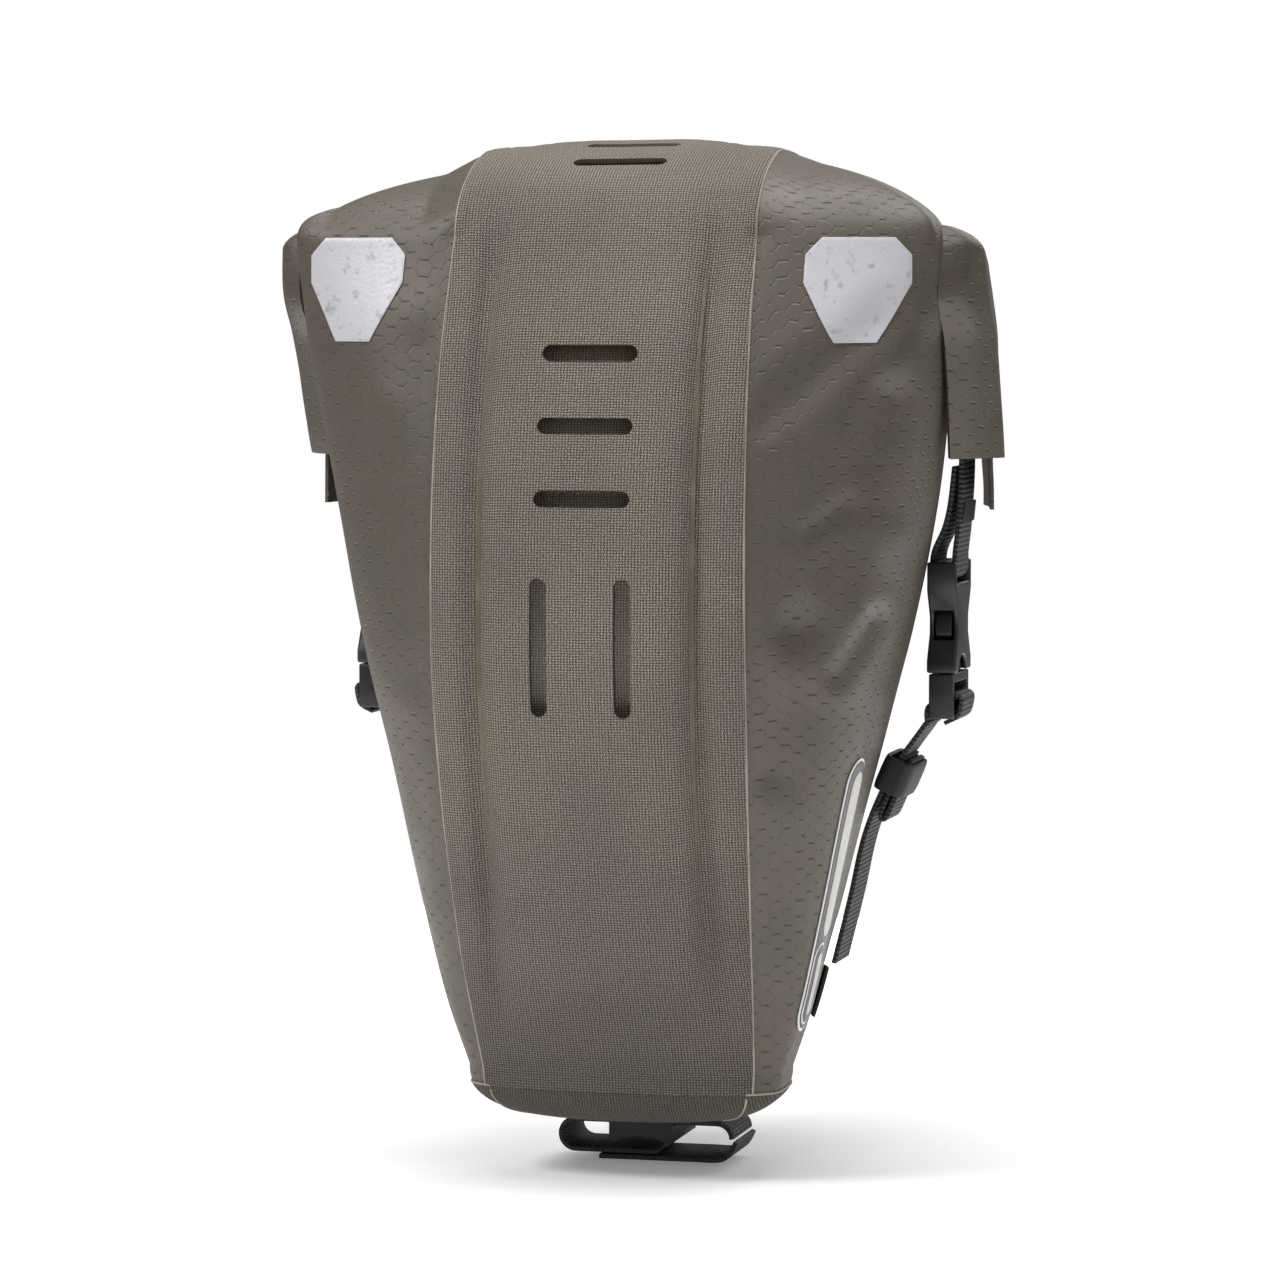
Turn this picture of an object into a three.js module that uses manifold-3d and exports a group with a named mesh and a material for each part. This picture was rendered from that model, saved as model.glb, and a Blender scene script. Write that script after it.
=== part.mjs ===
// Roll-closure saddle bag with a quick-release rail bracket, in millimetres, +Z up,
// +Y towards the saddle rails.
import * as THREE from "three";
import { mergeVertices } from "three/addons/utils/BufferGeometryUtils.js";
import Module from "manifold-3d";

const wasm = await Module();
wasm.setup();

// Bag body: overall sizes
const bagHeight = 299;
const bagHalfWidth = 100;
const bagRearReach = 80;
const bagFrontReach = 54;
// Fabric walls and the gap kept between welded neighbours
const fabricWall = 1.6;
const linerWall = 1.2;
const stiffenerWall = 1.8;
const seamGap = 0.3;
const skinGap = 0.35;
const decalWall = 0.5;
// Centre strip: half widths at the foot, low down, in the middle and at the crown
const stripHalfFoot = 40;
const stripHalfLow = 45;
const stripHalfMiddle = 47.5;
const stripHalfCrown = 45.5;
const stiffenerHalf = 34;
// Light slots in the strip
const slotLength = 29;
const slotHeight = 5;
const slotPitch = 21.3;
const slotRowHeight = 214;
const uprightSlotLength = 41;
const uprightSlotHeight = 149;
const uprightSlotSpacing = 25.5;
// Webbing and side-release buckles
const webbingWidth = 20;
const webbingWall = 1.5;
const buckleClearance = 0.6;
const buckleThickness = 9;
const buckleRim = 2.6;
const sideGearY = 20;
const loopBarHeight = 169;
const housingLength = 34;
const lockLength = 13.6;
const tongueLength = 19.6;
// Rolled mouth
const mouthHeight = 9;
const mouthHalf = 84;
const rollOuterRadius = 10.5;
const rollInnerRadius = 3.6;
const rollWall = 2.2;
const rollPitch = 2.9;
// Quick-release bracket and saddle rails
const railRadius = 3.5;
const railSpacing = 44;
const railClearance = 0.2;
const bracketHeight = 134;
const receiverHalf = 27;
const receiverLength = 76;
const receiverFace = 62;
const tongueWide = 15;
const tongueNeck = 10;
const tongueWall = 3.6;
const slideClearance = 0.4;
const jawHalf = 31;
const jawLength = 46;
const lowerJawWall = 10;
const upperJawWall = 8;
const jawSplit = 2.2;
const boltRadius = 2.5;
const boltHeadRadius = 4.2;
const boltHeadHeight = 4.8;
const boltSpacing = 18;
const screwRadius = 2;
// Seatpost strap
const strapWidth = 26;
const strapWall = 1.6;
const strapLoopHalf = 28;
const strapLoopDepth = 11;
const seatpostRadius = 15.4;

const segments = 40;
const rearPower = 0.77;
const domeCentreY = 8;
const footCentreY = -20;
const footPower = 2.6;
const domePower = 2;

// Shares of the overall sizes at each height: half width, rear and front; waist is the widest line's y, and
// frontPower is how boxy the front half is (1 is an ellipse)
const stations = [
  { up: 0.057, half: 0.493, rear: -0.525, waist: -25, front: 0.15, frontPower: 0.5 },
  { up: 0.12, half: 0.555, rear: -0.63, waist: -25, front: 0.24, frontPower: 0.5 },
  { up: 0.19, half: 0.605, rear: -0.75, waist: -24, front: 0.37, frontPower: 0.5 },
  { up: 0.318, half: 0.69, rear: -0.9, waist: -20, front: 0.6, frontPower: 0.52 },
  { up: 0.41, half: 0.757, rear: -0.968, waist: -17, front: 0.745, frontPower: 0.54 },
  { up: 0.502, half: 0.823, rear: -1, waist: -14, front: 0.86, frontPower: 0.56 },
  { up: 0.652, half: 0.914, rear: -0.965, waist: -14, front: 0.98, frontPower: 0.62 },
  { up: 0.786, half: 0.968, rear: -0.838, waist: -28, front: 1, frontPower: 0.74 },
  { up: 0.903, half: 0.99, rear: -0.65, waist: -44, front: 0.93, frontPower: 0.88 },
].map((s) => ({
  z: s.up * bagHeight,
  half: s.half * bagHalfWidth,
  rear: s.rear * bagRearReach,
  waist: s.waist,
  front: s.front * bagFrontReach,
  frontPower: s.frontPower,
}));
const domeBase = stations[stations.length - 1].z;
const footTop = stations[0].z;

// ---- solids ----
function toSolid(geometry) {
  geometry.deleteAttribute("normal");
  geometry.deleteAttribute("uv");
  const merged = mergeVertices(geometry, 1e-4);
  return new wasm.Manifold(new wasm.Mesh({
    numProp: 3,
    vertProperties: new Float32Array(merged.attributes.position.array),
    triVerts: new Uint32Array(merged.index.array),
  }));
}

function toGeometry(solid) {
  const mesh = solid.getMesh();
  const geometry = new THREE.BufferGeometry();
  geometry.setAttribute("position", new THREE.BufferAttribute(new Float32Array(mesh.vertProperties), 3));
  geometry.setIndex(new THREE.BufferAttribute(new Uint32Array(mesh.triVerts), 1));
  geometry.computeVertexNormals();
  return geometry;
}

function boxSolid(low, high) {
  const size = high.map((value, i) => value - low[i]);
  const geometry = new THREE.BoxGeometry(size[0], size[1], size[2]);
  geometry.translate(low[0] + size[0] / 2, low[1] + size[1] / 2, low[2] + size[2] / 2);
  return toSolid(geometry);
}

// A rod from one point along a row axis
function rodSolid(axis, centre, radius, length, sides = 20) {
  const geometry = new THREE.CylinderGeometry(radius, radius, length, sides);
  if (axis === "x") geometry.rotateZ(Math.PI / 2);
  if (axis === "z") geometry.rotateX(Math.PI / 2);
  geometry.translate(...centre);
  return toSolid(geometry);
}

// An outline of [across, up] points pushed along a row axis from low to high
function prism(axis, outline, low, high) {
  const points = outline.map((p) => new THREE.Vector2(p[0], p[1]));
  const settings = { depth: high - low, bevelEnabled: false };
  const geometry = new THREE.ExtrudeGeometry(new THREE.Shape(points), settings);
  if (axis === "x") {
    geometry.rotateX(Math.PI / 2);
    geometry.rotateZ(Math.PI / 2);
    geometry.translate(low, 0, 0);
  }
  if (axis === "y") {
    geometry.rotateX(Math.PI / 2);
    geometry.translate(0, high, 0);
  }
  if (axis === "z") geometry.translate(0, 0, low);
  return toSolid(geometry);
}

// A closed skin through rings of 3D points that share one point count, capped at both ends
function ringSolid(rings, capOutline) {
  const count = rings[0].length;
  const positions = rings.flat().flatMap((p) => [p.x, p.y, p.z]);
  const index = [];
  for (let r = 0; r + 1 < rings.length; r += 1) {
    for (let i = 0; i < count; i += 1) {
      const a = r * count + i;
      const b = r * count + ((i + 1) % count);
      index.push(a, b, a + count, b, b + count, a + count);
    }
  }
  const last = (rings.length - 1) * count;
  for (const [a, b, c] of THREE.ShapeUtils.triangulateShape(capOutline, [])) {
    index.push(c, b, a, last + a, last + b, last + c);
  }
  const geometry = new THREE.BufferGeometry();
  geometry.setAttribute("position", new THREE.Float32BufferAttribute(positions, 3));
  geometry.setIndex(index);
  return toSolid(geometry);
}

// ---- bag surface ----
function ringPoint(station, angle, grow, shrink, centreY, height) {
  const cos = Math.cos(angle);
  const sin = Math.sin(angle);
  const power = sin < 0 ? rearPower : station.frontPower;
  const reach = sin < 0 ? station.waist - station.rear : station.front - station.waist;
  const x = (station.half + grow) * Math.sign(cos) * Math.abs(cos) ** power;
  const y = station.waist + (reach + grow) * Math.sign(sin) * Math.abs(sin) ** power;
  return new THREE.Vector3(x * shrink, centreY + (y - centreY) * shrink, height);
}

// The bag's outline grown outwards (or inwards, when negative) by an even amount
function bagSolid(grow) {
  const rows = [];
  const steps = [0.94, 0.8, 0.6, 0.35];
  const top = stations[stations.length - 1];
  for (const rise of steps) {
    const shrink = (1 - rise ** footPower) ** (1 / footPower);
    rows.push({ station: stations[0], shrink, centreY: footCentreY, z: footTop - rise * (footTop + grow) });
  }
  for (const station of stations) rows.push({ station, shrink: 1, centreY: 0, z: station.z });
  for (const rise of [...steps].reverse()) {
    const shrink = (1 - rise ** domePower) ** (1 / domePower);
    const z = domeBase + rise * (bagHeight + grow - domeBase);
    rows.push({ station: top, shrink, centreY: domeCentreY, z });
  }
  const positions = [];
  for (const row of rows) {
    for (let i = 0; i < segments; i += 1) {
      const angle = (i / segments) * 2 * Math.PI;
      const p = ringPoint(row.station, angle, grow, row.shrink, row.centreY, row.z);
      positions.push(p.x, p.y, p.z);
    }
  }
  const index = [];
  for (let r = 0; r + 1 < rows.length; r += 1) {
    for (let i = 0; i < segments; i += 1) {
      const a = r * segments + i;
      const b = r * segments + ((i + 1) % segments);
      index.push(a, b, a + segments, b, b + segments, a + segments);
    }
  }
  const foot = positions.length / 3;
  const crown = foot + 1;
  positions.push(0, footCentreY, -grow, 0, domeCentreY, bagHeight + grow);
  const last = (rows.length - 1) * segments;
  for (let i = 0; i < segments; i += 1) {
    const next = (i + 1) % segments;
    index.push(foot, next, i, crown, last + i, last + next);
  }
  const geometry = new THREE.BufferGeometry();
  geometry.setAttribute("position", new THREE.Float32BufferAttribute(positions, 3));
  geometry.setIndex(index);
  return toSolid(geometry);
}

function stationAt(z) {
  const above = stations.findIndex((s) => s.z >= z);
  if (above <= 0) return stations[above === 0 ? 0 : stations.length - 1];
  const low = stations[above - 1];
  const high = stations[above];
  const share = (z - low.z) / (high.z - low.z);
  const mix = (name) => low[name] + (high[name] - low[name]) * share;
  const names = ["half", "rear", "waist", "front", "frontPower"];
  return { z, ...Object.fromEntries(names.map((name) => [name, mix(name)])) };
}

// A layer of the bag's wall: from `outer` to `outer - wall`, both measured outwards from the bag's surface
function wallLayer(outer, wall) {
  return bagSolid(outer).subtract(bagSolid(outer - wall));
}

// ---- materials ----
function finish(color, roughness, metalness = 0) {
  return new THREE.MeshStandardMaterial({ color, roughness, metalness });
}

const finishes = {
  ripstop: () => finish(0x6b6257, 0.7),
  weave: () => finish(0x7a7060, 0.85),
  liner: () => finish(0x4d473c, 0.8),
  reflective: () => finish(0xd6d8de, 0.35),
  label: () => finish(0x2c2c2e, 0.4),
  webbing: () => finish(0x1b1b1d, 0.85),
  acetal: () => finish(0x36363a, 0.5),
  rubber: () => finish(0x202022, 0.75),
  nylon: () => finish(0x2b2b2e, 0.55),
  steel: () => finish(0xb8babd, 0.3, 1),
  aluminium: () => finish(0xa9abae, 0.4, 1),
};

const bag = new THREE.Group();

function addPiece(name, solid, material) {
  const mesh = new THREE.Mesh(toGeometry(solid), finishes[material]());
  mesh.name = name;
  bag.add(mesh);
}

const sides = [
  { name: "left", sign: -1 },
  { name: "right", sign: 1 },
];

function mirrored(solid, sign) {
  return sign > 0 ? solid : solid.mirror([1, 0, 0]);
}

// ---- bag panels ----
const far = 400;
const rollAxisZ = domeBase - mouthHeight;
const mouthLow = rollAxisZ - mouthHeight / 2;
const mouthBox = boxSolid([-mouthHalf, 20, mouthLow], [mouthHalf, far, mouthLow + mouthHeight]);
const footSeam = 0.68 * footTop;

function stripOutline(margin) {
  const half = [stripHalfFoot, stripHalfLow, stripHalfMiddle, stripHalfCrown].map((value) => value + margin);
  const heights = [-10, 0.2 * bagHeight, 0.5 * bagHeight, bagHeight + 10];
  const right = half.map((value, i) => [value, heights[i]]);
  const left = right.map(([x, z]) => [-x, z]).reverse();
  return [...right, ...left];
}

function stripPrism(margin) {
  return prism("y", stripOutline(margin), -far, far);
}

// Everything in front of the line from the foot seam up to the mouth
function frontRegion(margin) {
  const splitY = footCentreY + 14 - margin;
  return prism("x", [[splitY, footSeam], [far, footSeam], [far, rollAxisZ], [splitY, rollAxisZ]], -far, far);
}

function roundSlot(axis, centre, length, height, low, high) {
  const radius = height / 2;
  const reach = length / 2 - radius;
  const outline = [];
  for (const side of [1, -1]) {
    for (let i = 0; i <= 6; i += 1) {
      const angle = -Math.PI / 2 + (i / 6) * Math.PI;
      const across = side * (reach + radius * Math.cos(angle));
      outline.push([centre[0] + across, centre[1] + side * radius * Math.sin(angle)]);
    }
  }
  return prism(axis, outline, low, high);
}

function uprightSlot(centre, length, width, low, high) {
  const upright = roundSlot("y", [0, 0], length, width, low, high).rotate([0, 90, 0]);
  return upright.translate([centre[0], 0, centre[1]]);
}

// Three level slots and two upright ones in the rear face, and three more over the crown
const crownSlotRows = [
  { y: -35, tilt: 38 },
  { y: -14.5, tilt: 20 },
  { y: 6.5, tilt: 2 },
];
function lightSlots(margin) {
  const length = slotLength + 2 * margin;
  const height = slotHeight + 2 * margin;
  const cutters = [-1, 0, 1].map((row) =>
    roundSlot("y", [0, slotRowHeight + row * slotPitch], length, height, -far, footCentreY));
  for (const side of [-1, 1]) {
    const centre = [(side * uprightSlotSpacing) / 2, uprightSlotHeight];
    cutters.push(uprightSlot(centre, uprightSlotLength + 2 * margin, height, -far, footCentreY));
  }
  for (const row of crownSlotRows) {
    const cutter = roundSlot("z", [0, 0], length, height, -30, 30);
    cutters.push(cutter.rotate([row.tilt, 0, 0]).translate([0, row.y, bagHeight - 4]));
  }
  return cutters;
}

function addPanels() {
  const layer = wallLayer(0, fabricWall).subtract(mouthBox);
  const lower = boxSolid([-far, -far, -far], [far, far, footSeam]);
  const upper = boxSolid([-far, -far, footSeam + seamGap], [far, far, far]);
  const strip = layer.intersect(stripPrism(-seamGap / 2)).intersect(upper);
  let rear = strip.subtract(frontRegion(0));
  for (const cutter of lightSlots(0)) rear = rear.subtract(cutter);
  addPiece("rear_panel", rear, "weave");
  addPiece("front_panel", strip.intersect(frontRegion(-seamGap)).subtract(screwHoles()), "ripstop");
  addPiece("base_panel", layer.intersect(lower), "weave");
  const flanks = layer.subtract(stripPrism(seamGap / 2)).intersect(upper);
  const flank = flanks.intersect(boxSolid([0, -far, -far], [far, far, far]));
  for (const side of sides) {
    addPiece(`side_panel_${side.name}`, mirrored(flank, side.sign), "ripstop");
  }
}

// Stiffener behind the slotted face, windowed where a light's clip passes, and the waterproof liner behind it
function addRearLining() {
  const liningFoot = 0.16 * bagHeight;
  const crownZ = 0.86 * bagHeight;
  const rearOnly = prism("x", [
    [-far, liningFoot], [footCentreY, liningFoot], [footCentreY, crownZ],
    [domeCentreY + 12, crownZ], [domeCentreY + 12, far], [-far, far],
  ], -far, far);
  const plateOutline = stripOutline(stiffenerHalf - stripHalfMiddle);
  const plate = wallLayer(-fabricWall - skinGap, stiffenerWall)
    .intersect(prism("y", plateOutline, -far, far))
    .intersect(rearOnly);
  let windowed = plate;
  for (const cutter of lightSlots(2)) windowed = windowed.subtract(cutter);
  addPiece("rear_stiffener", windowed, "nylon");
  const linerOutside = -fabricWall - stiffenerWall - 2 * skinGap - 1.2;
  const liner = wallLayer(linerOutside, linerWall)
    .intersect(prism("y", stripOutline(-6), -far, far))
    .intersect(rearOnly);
  addPiece("rear_liner", liner, "liner");
}

// ---- reflectors and labels, thin skins on the bag's surface ----
const reflectorWidth = 31;
const reflectorHeight = 31;
function reflectorOutline(centre) {
  const w = reflectorWidth / 2;
  const h = reflectorHeight / 2;
  const points = [[w - 5, h], [w, h - 5], [w, 2], [6, -h], [-6, -h], [-w, 2], [-w, h - 5], [-w + 5, h]];
  return points.map(([x, z]) => [centre[0] + x, centre[1] + z]);
}

function addReflectors() {
  const skin = wallLayer(skinGap + decalWall, decalWall);
  const rearOutline = reflectorOutline([0.768 * bagHalfWidth, 0.849 * bagHeight]);
  const rearPrism = prism("y", rearOutline, -far, footCentreY);
  const crownOutline = reflectorOutline([0.69 * bagHalfWidth, domeCentreY + 6]);
  const crownPrism = prism("z", crownOutline, domeBase, far);
  for (const side of sides) {
    addPiece(`reflector_rear_${side.name}`, mirrored(skin.intersect(rearPrism), side.sign), "reflective");
    addPiece(`reflector_crown_${side.name}`, mirrored(skin.intersect(crownPrism), side.sign), "reflective");
  }
}

function addLabels() {
  const labelLength = 84;
  const labelWidth = 18;
  const skin = wallLayer(skinGap + decalWall, decalWall);
  const flat = roundSlot("x", [0, 0], labelLength, labelWidth, 0, far);
  const upright = flat.rotate([90 - 2, 0, 0]).translate([0, -32, 0.24 * bagHeight]);
  for (const side of sides) {
    addPiece(`side_label_${side.name}`, mirrored(skin.intersect(upright), side.sign), "label");
  }
}

// ---- rolled mouth ----
const rollCentreY = stations[stations.length - 1].front + rollOuterRadius + 1.2;
function addMouthRoll() {
  const turns = (rollOuterRadius - rollWall / 2 - rollInnerRadius) / rollPitch;
  const count = Math.round(turns * 20);
  const outside = [];
  const inside = [];
  for (let i = 0; i <= count; i += 1) {
    const angle = (i / count) * turns * 2 * Math.PI - Math.PI / 2;
    const radius = rollInnerRadius + (i / count) * turns * rollPitch;
    const at = (r) => [rollCentreY + r * Math.cos(angle), rollAxisZ + r * Math.sin(angle)];
    outside.push(at(radius + rollWall / 2));
    inside.push(at(radius - rollWall / 2));
  }
  const spiral = prism("x", [...outside, ...inside.reverse()], -mouthHalf - 4, mouthHalf + 4);
  addPiece("mouth_roll", spiral, "ripstop");
  const barLow = [-mouthHalf, rollCentreY - 0.9, rollAxisZ - 1.6];
  const barHigh = [mouthHalf, rollCentreY + 0.9, rollAxisZ + 1.6];
  addPiece("closure_bar", boxSolid(barLow, barHigh), "nylon");
}

// ---- folded roll ends and what hangs on them ----
// Each end is a folded sheet: root at the bag's wall, crest outermost, hem at the front
const endTop = domeBase + 3;
const endLength = 70;
const hemDrop = 16;
const endSheet = 1.3;
const widthChange = bagHalfWidth - 100;
const endRows = [
  { drop: 0, root: [102.6, -46], crest: [108.6, -34], hem: [98, 40] },
  { drop: 0.25, root: [101, -38], crest: [110, -21], hem: [98.6, 42] },
  { drop: 0.5, root: [99.8, -28], crest: [110.4, -9], hem: [99.4, 43] },
  { drop: 1, root: [96.6, -14], crest: [110, 7], hem: [100, 45] },
];

function inward([x, y], [dx, dy]) {
  return [x + dx * endSheet, y + dy * endSheet];
}

function endRing(row, z) {
  const { root, crest, hem } = row;
  const outline = [
    root, crest, hem,
    inward(hem, [-1, 0]), inward(crest, [-1.35, 0.5]), inward(root, [-0.1, 1.15]),
  ];
  return outline.map(([x, y]) => new THREE.Vector3(x + widthChange, y, z));
}

function addRollEnds() {
  const rings = [...endRows].reverse().map((row) => endRing(row, endTop - row.drop * endLength));
  const flat = (ring) => ring.map((p) => new THREE.Vector2(p.x, p.y));
  const folded = ringSolid(rings, flat(rings[0]));
  const last = endRows[endRows.length - 1];
  const hemRoot = [last.crest[0] - 0.6, last.crest[1] + 2.2];
  const hemCrest = [last.crest[0] - 0.1, last.crest[1] + 2.2];
  const hemRow = { root: hemRoot, crest: hemCrest, hem: last.hem };
  const hemTop = endRing(hemRow, endTop - endLength + 2);
  const hemFoot = endRing(hemRow, endTop - endLength - hemDrop);
  const solid = folded.add(ringSolid([hemFoot, hemTop], flat(hemFoot)));
  for (const side of sides) addPiece(`roll_end_${side.name}`, mirrored(solid, side.sign), "ripstop");
}

const webbingTop = endTop - endLength + 10;
const stemX = 95.5 + widthChange;
const barX = 91 + widthChange;
const loopInner = 2.8;

function addEndWebbing() {
  const low = sideGearY - webbingWidth / 2;
  const high = sideGearY + webbingWidth / 2;
  const half = webbingWall / 2;
  const ring = rodSolid("y", [barX, sideGearY, loopBarHeight], loopInner + webbingWall, webbingWidth)
    .subtract(rodSolid("y", [barX, sideGearY, loopBarHeight], loopInner, webbingWidth + 2));
  const meetZ = loopBarHeight + loopInner + half;
  const bendZ = endTop - endLength - 5;
  const stem = prism("y", [
    [barX - half, meetZ], [barX + half, meetZ], [stemX + half, bendZ],
    [stemX + half, webbingTop], [stemX - half, webbingTop], [stemX - half, bendZ],
  ], low, high);
  const solid = ring.add(stem);
  for (const side of sides) addPiece(`end_webbing_${side.name}`, mirrored(solid, side.sign), "webbing");
}

const housingTop = loopBarHeight + 1.8;
const housingFoot = housingTop - housingLength;
const housingHalf = webbingWidth / 2 + buckleClearance + buckleRim;
const cavityHalf = 9.6;
const cavityDepth = 5.8;

// The female half: a waisted housing hung by its bar, hollow for the prongs and open at both flanks
function addHousings() {
  const half = [
    [housingHalf, housingTop], [housingHalf, housingTop - 9], [cavityHalf - 0.9, housingTop - 17],
    [cavityHalf - 0.9, housingTop - 22], [housingHalf, housingFoot + 4], [housingHalf, housingFoot],
  ];
  const outline = [...half, ...half.map(([y, z]) => [-y, z]).reverse()];
  const shifted = outline.map(([y, z]) => [y + sideGearY, z]);
  const x0 = barX - buckleThickness / 2;
  const x1 = barX + buckleThickness / 2;
  const slotHalf = webbingWidth / 2 + buckleClearance;
  const slotLow = loopBarHeight - loopInner - webbingWall - 0.6;
  const slotTop = loopBarHeight - 1.8;
  const slot = boxSolid([x0 - 1, sideGearY - slotHalf, slotLow], [x1 + 1, sideGearY + slotHalf, slotTop]);
  const barFaces = [[x0 - 1, barX - 1.6], [barX + 1.6, x1 + 1]].map(([a, b]) =>
    boxSolid([a, sideGearY - slotHalf, slotLow], [b, sideGearY + slotHalf, housingTop + 1]));
  const cavity = boxSolid(
    [barX - cavityDepth / 2, sideGearY - cavityHalf, housingFoot - 1],
    [barX + cavityDepth / 2, sideGearY + cavityHalf, slotLow - 3]);
  const arch = rodSolid("x", [barX, sideGearY, housingFoot - 3], 8, buckleThickness + 4);
  let solid = prism("x", shifted, x0, x1).subtract(slot).subtract(cavity).subtract(arch);
  for (const face of barFaces) solid = solid.subtract(face);
  for (const side of sides) addPiece(`buckle_housing_${side.name}`, mirrored(solid, side.sign), "acetal");
}

const lockTop = housingFoot - 0.4;
const lockFoot = lockTop - lockLength;

// The male half: a ladder lock with a centre guide, and two sprung prongs beside it
function addPlugs() {
  const depth = cavityDepth / 2 - slideClearance;
  const blockLow = [barX - 3.8, sideGearY - housingHalf, lockFoot];
  const block = boxSolid(blockLow, [barX + 3.8, sideGearY + housingHalf, lockTop]);
  const guideLow = [barX - 1.3, sideGearY - 2.2, lockTop - 1];
  const guide = boxSolid(guideLow, [barX + 1.3, sideGearY + 2.2, lockTop + tongueLength]);
  const slotHalf = webbingWidth / 2 + buckleClearance;
  let plug = block.add(guide);
  for (const rise of [2.4, 7.8]) {
    const low = [barX - 9, sideGearY - slotHalf, lockFoot + rise];
    plug = plug.subtract(boxSolid(low, [barX + 9, sideGearY + slotHalf, lockFoot + rise + 3]));
  }
  const outline = [
    [5.2, lockTop + 0.4], [7.2, lockTop + 0.4], [7.2, lockTop + 10.5], [9.2, lockTop + 12],
    [9.2, lockTop + 16], [6.6, lockTop + 20], [5.2, lockTop + 20],
  ];
  for (const side of sides) {
    addPiece(`buckle_plug_${side.name}`, mirrored(plug, side.sign), "acetal");
    for (const end of [{ name: "rear", sign: -1 }, { name: "front", sign: 1 }]) {
      const turned = outline.map(([y, z]) => [sideGearY + end.sign * y, z]);
      if (end.sign < 0) turned.reverse();
      const prong = prism("x", turned, barX - depth, barX + depth);
      addPiece(`prong_${end.name}_${side.name}`, mirrored(prong, side.sign), "acetal");
    }
  }
}

// ---- side straps ----
const anchorZ = 0.16 * bagHeight;
const strapLift = 2.4;
const keeperZ = 0.352 * bagHeight;
const strapTopZ = lockFoot - 3;
const keeperLean = Math.atan2(13, 30);

// Half width of the bag at a height and depth, on its front half
function halfAt(z, y) {
  const station = stationAt(z);
  const sin = ((y - station.waist) / (station.front - station.waist)) ** (1 / station.frontPower);
  return station.half * Math.sqrt(Math.max(0, 1 - sin * sin)) ** station.frontPower;
}

function addSideStraps() {
  const hugZ = keeperZ - 18;
  const low = { y: sideGearY - 13, z: anchorZ };
  const middle = { y: sideGearY - 7, z: (anchorZ + hugZ) / 2 };
  const hug = { y: sideGearY, z: hugZ };
  const route = [low, middle, hug].map((p) => ({ ...p, x: halfAt(p.z, p.y - webbingWidth / 2) + strapLift }));
  const top = { y: sideGearY, z: strapTopZ, x: route[2].x + (strapTopZ - hugZ) * Math.tan(keeperLean) };
  const rings = [...route, top].map(({ x, y, z }) => {
    const [w, h] = [webbingWidth / 2, webbingWall / 2];
    return [[h, -w], [h, w], [-h, w], [-h, -w]].map(([dx, dy]) => new THREE.Vector3(x + dx, y + dy, z));
  });
  const strap = ringSolid(rings, rings[0].map((p) => new THREE.Vector2(p.x, p.y)));
  const keeperX = route[2].x + (keeperZ - hugZ) * Math.tan(keeperLean);
  const leanDegrees = (keeperLean * 180) / Math.PI;
  const place = (solid) => solid.rotate([0, leanDegrees, 0]).translate([keeperX, sideGearY, keeperZ]);
  const tail = place(boxSolid([1.4, -webbingWidth / 2, -13], [1.4 + 2 * webbingWall, webbingWidth / 2, 7]));
  const reach = webbingWidth / 2 + 0.8;
  const hole = boxSolid([-1.5, -reach, -20], [1.9 + 2 * webbingWall, reach, 20]);
  const keeperBlock = boxSolid([-2.8, -reach - 1.3, -5.4], [3.2 + 2 * webbingWall, reach + 1.3, 5.4]);
  const keeper = place(keeperBlock.subtract(hole));
  const anchor = wallLayer(skinGap + 1.1, 1.1)
    .intersect(boxSolid([0.3 * bagHalfWidth, low.y - 13, anchorZ - 16], [far, low.y + 13, anchorZ - 1]));
  for (const side of sides) {
    addPiece(`side_strap_${side.name}`, mirrored(strap, side.sign), "webbing");
    addPiece(`strap_tail_${side.name}`, mirrored(tail, side.sign), "webbing");
    addPiece(`strap_keeper_${side.name}`, mirrored(keeper, side.sign), "rubber");
    addPiece(`strap_anchor_${side.name}`, mirrored(anchor, side.sign), "webbing");
  }
}

// ---- seatpost strap under the foot ----
function bandRing(halfLength, halfDepth, wall) {
  const outline = (grow) => {
    const points = [];
    const radius = halfDepth + grow;
    for (const side of [1, -1]) {
      for (let i = 0; i <= 8; i += 1) {
        const angle = -Math.PI / 2 + (i / 8) * Math.PI;
        const across = side * (halfLength - halfDepth + radius * Math.cos(angle));
        points.push([across, side * radius * Math.sin(angle)]);
      }
    }
    return points;
  };
  const low = padY - strapWidth / 2;
  const inside = prism("y", outline(-wall), low - 1, low + strapWidth + 1);
  return prism("y", outline(0), low, low + strapWidth).subtract(inside);
}

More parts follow.
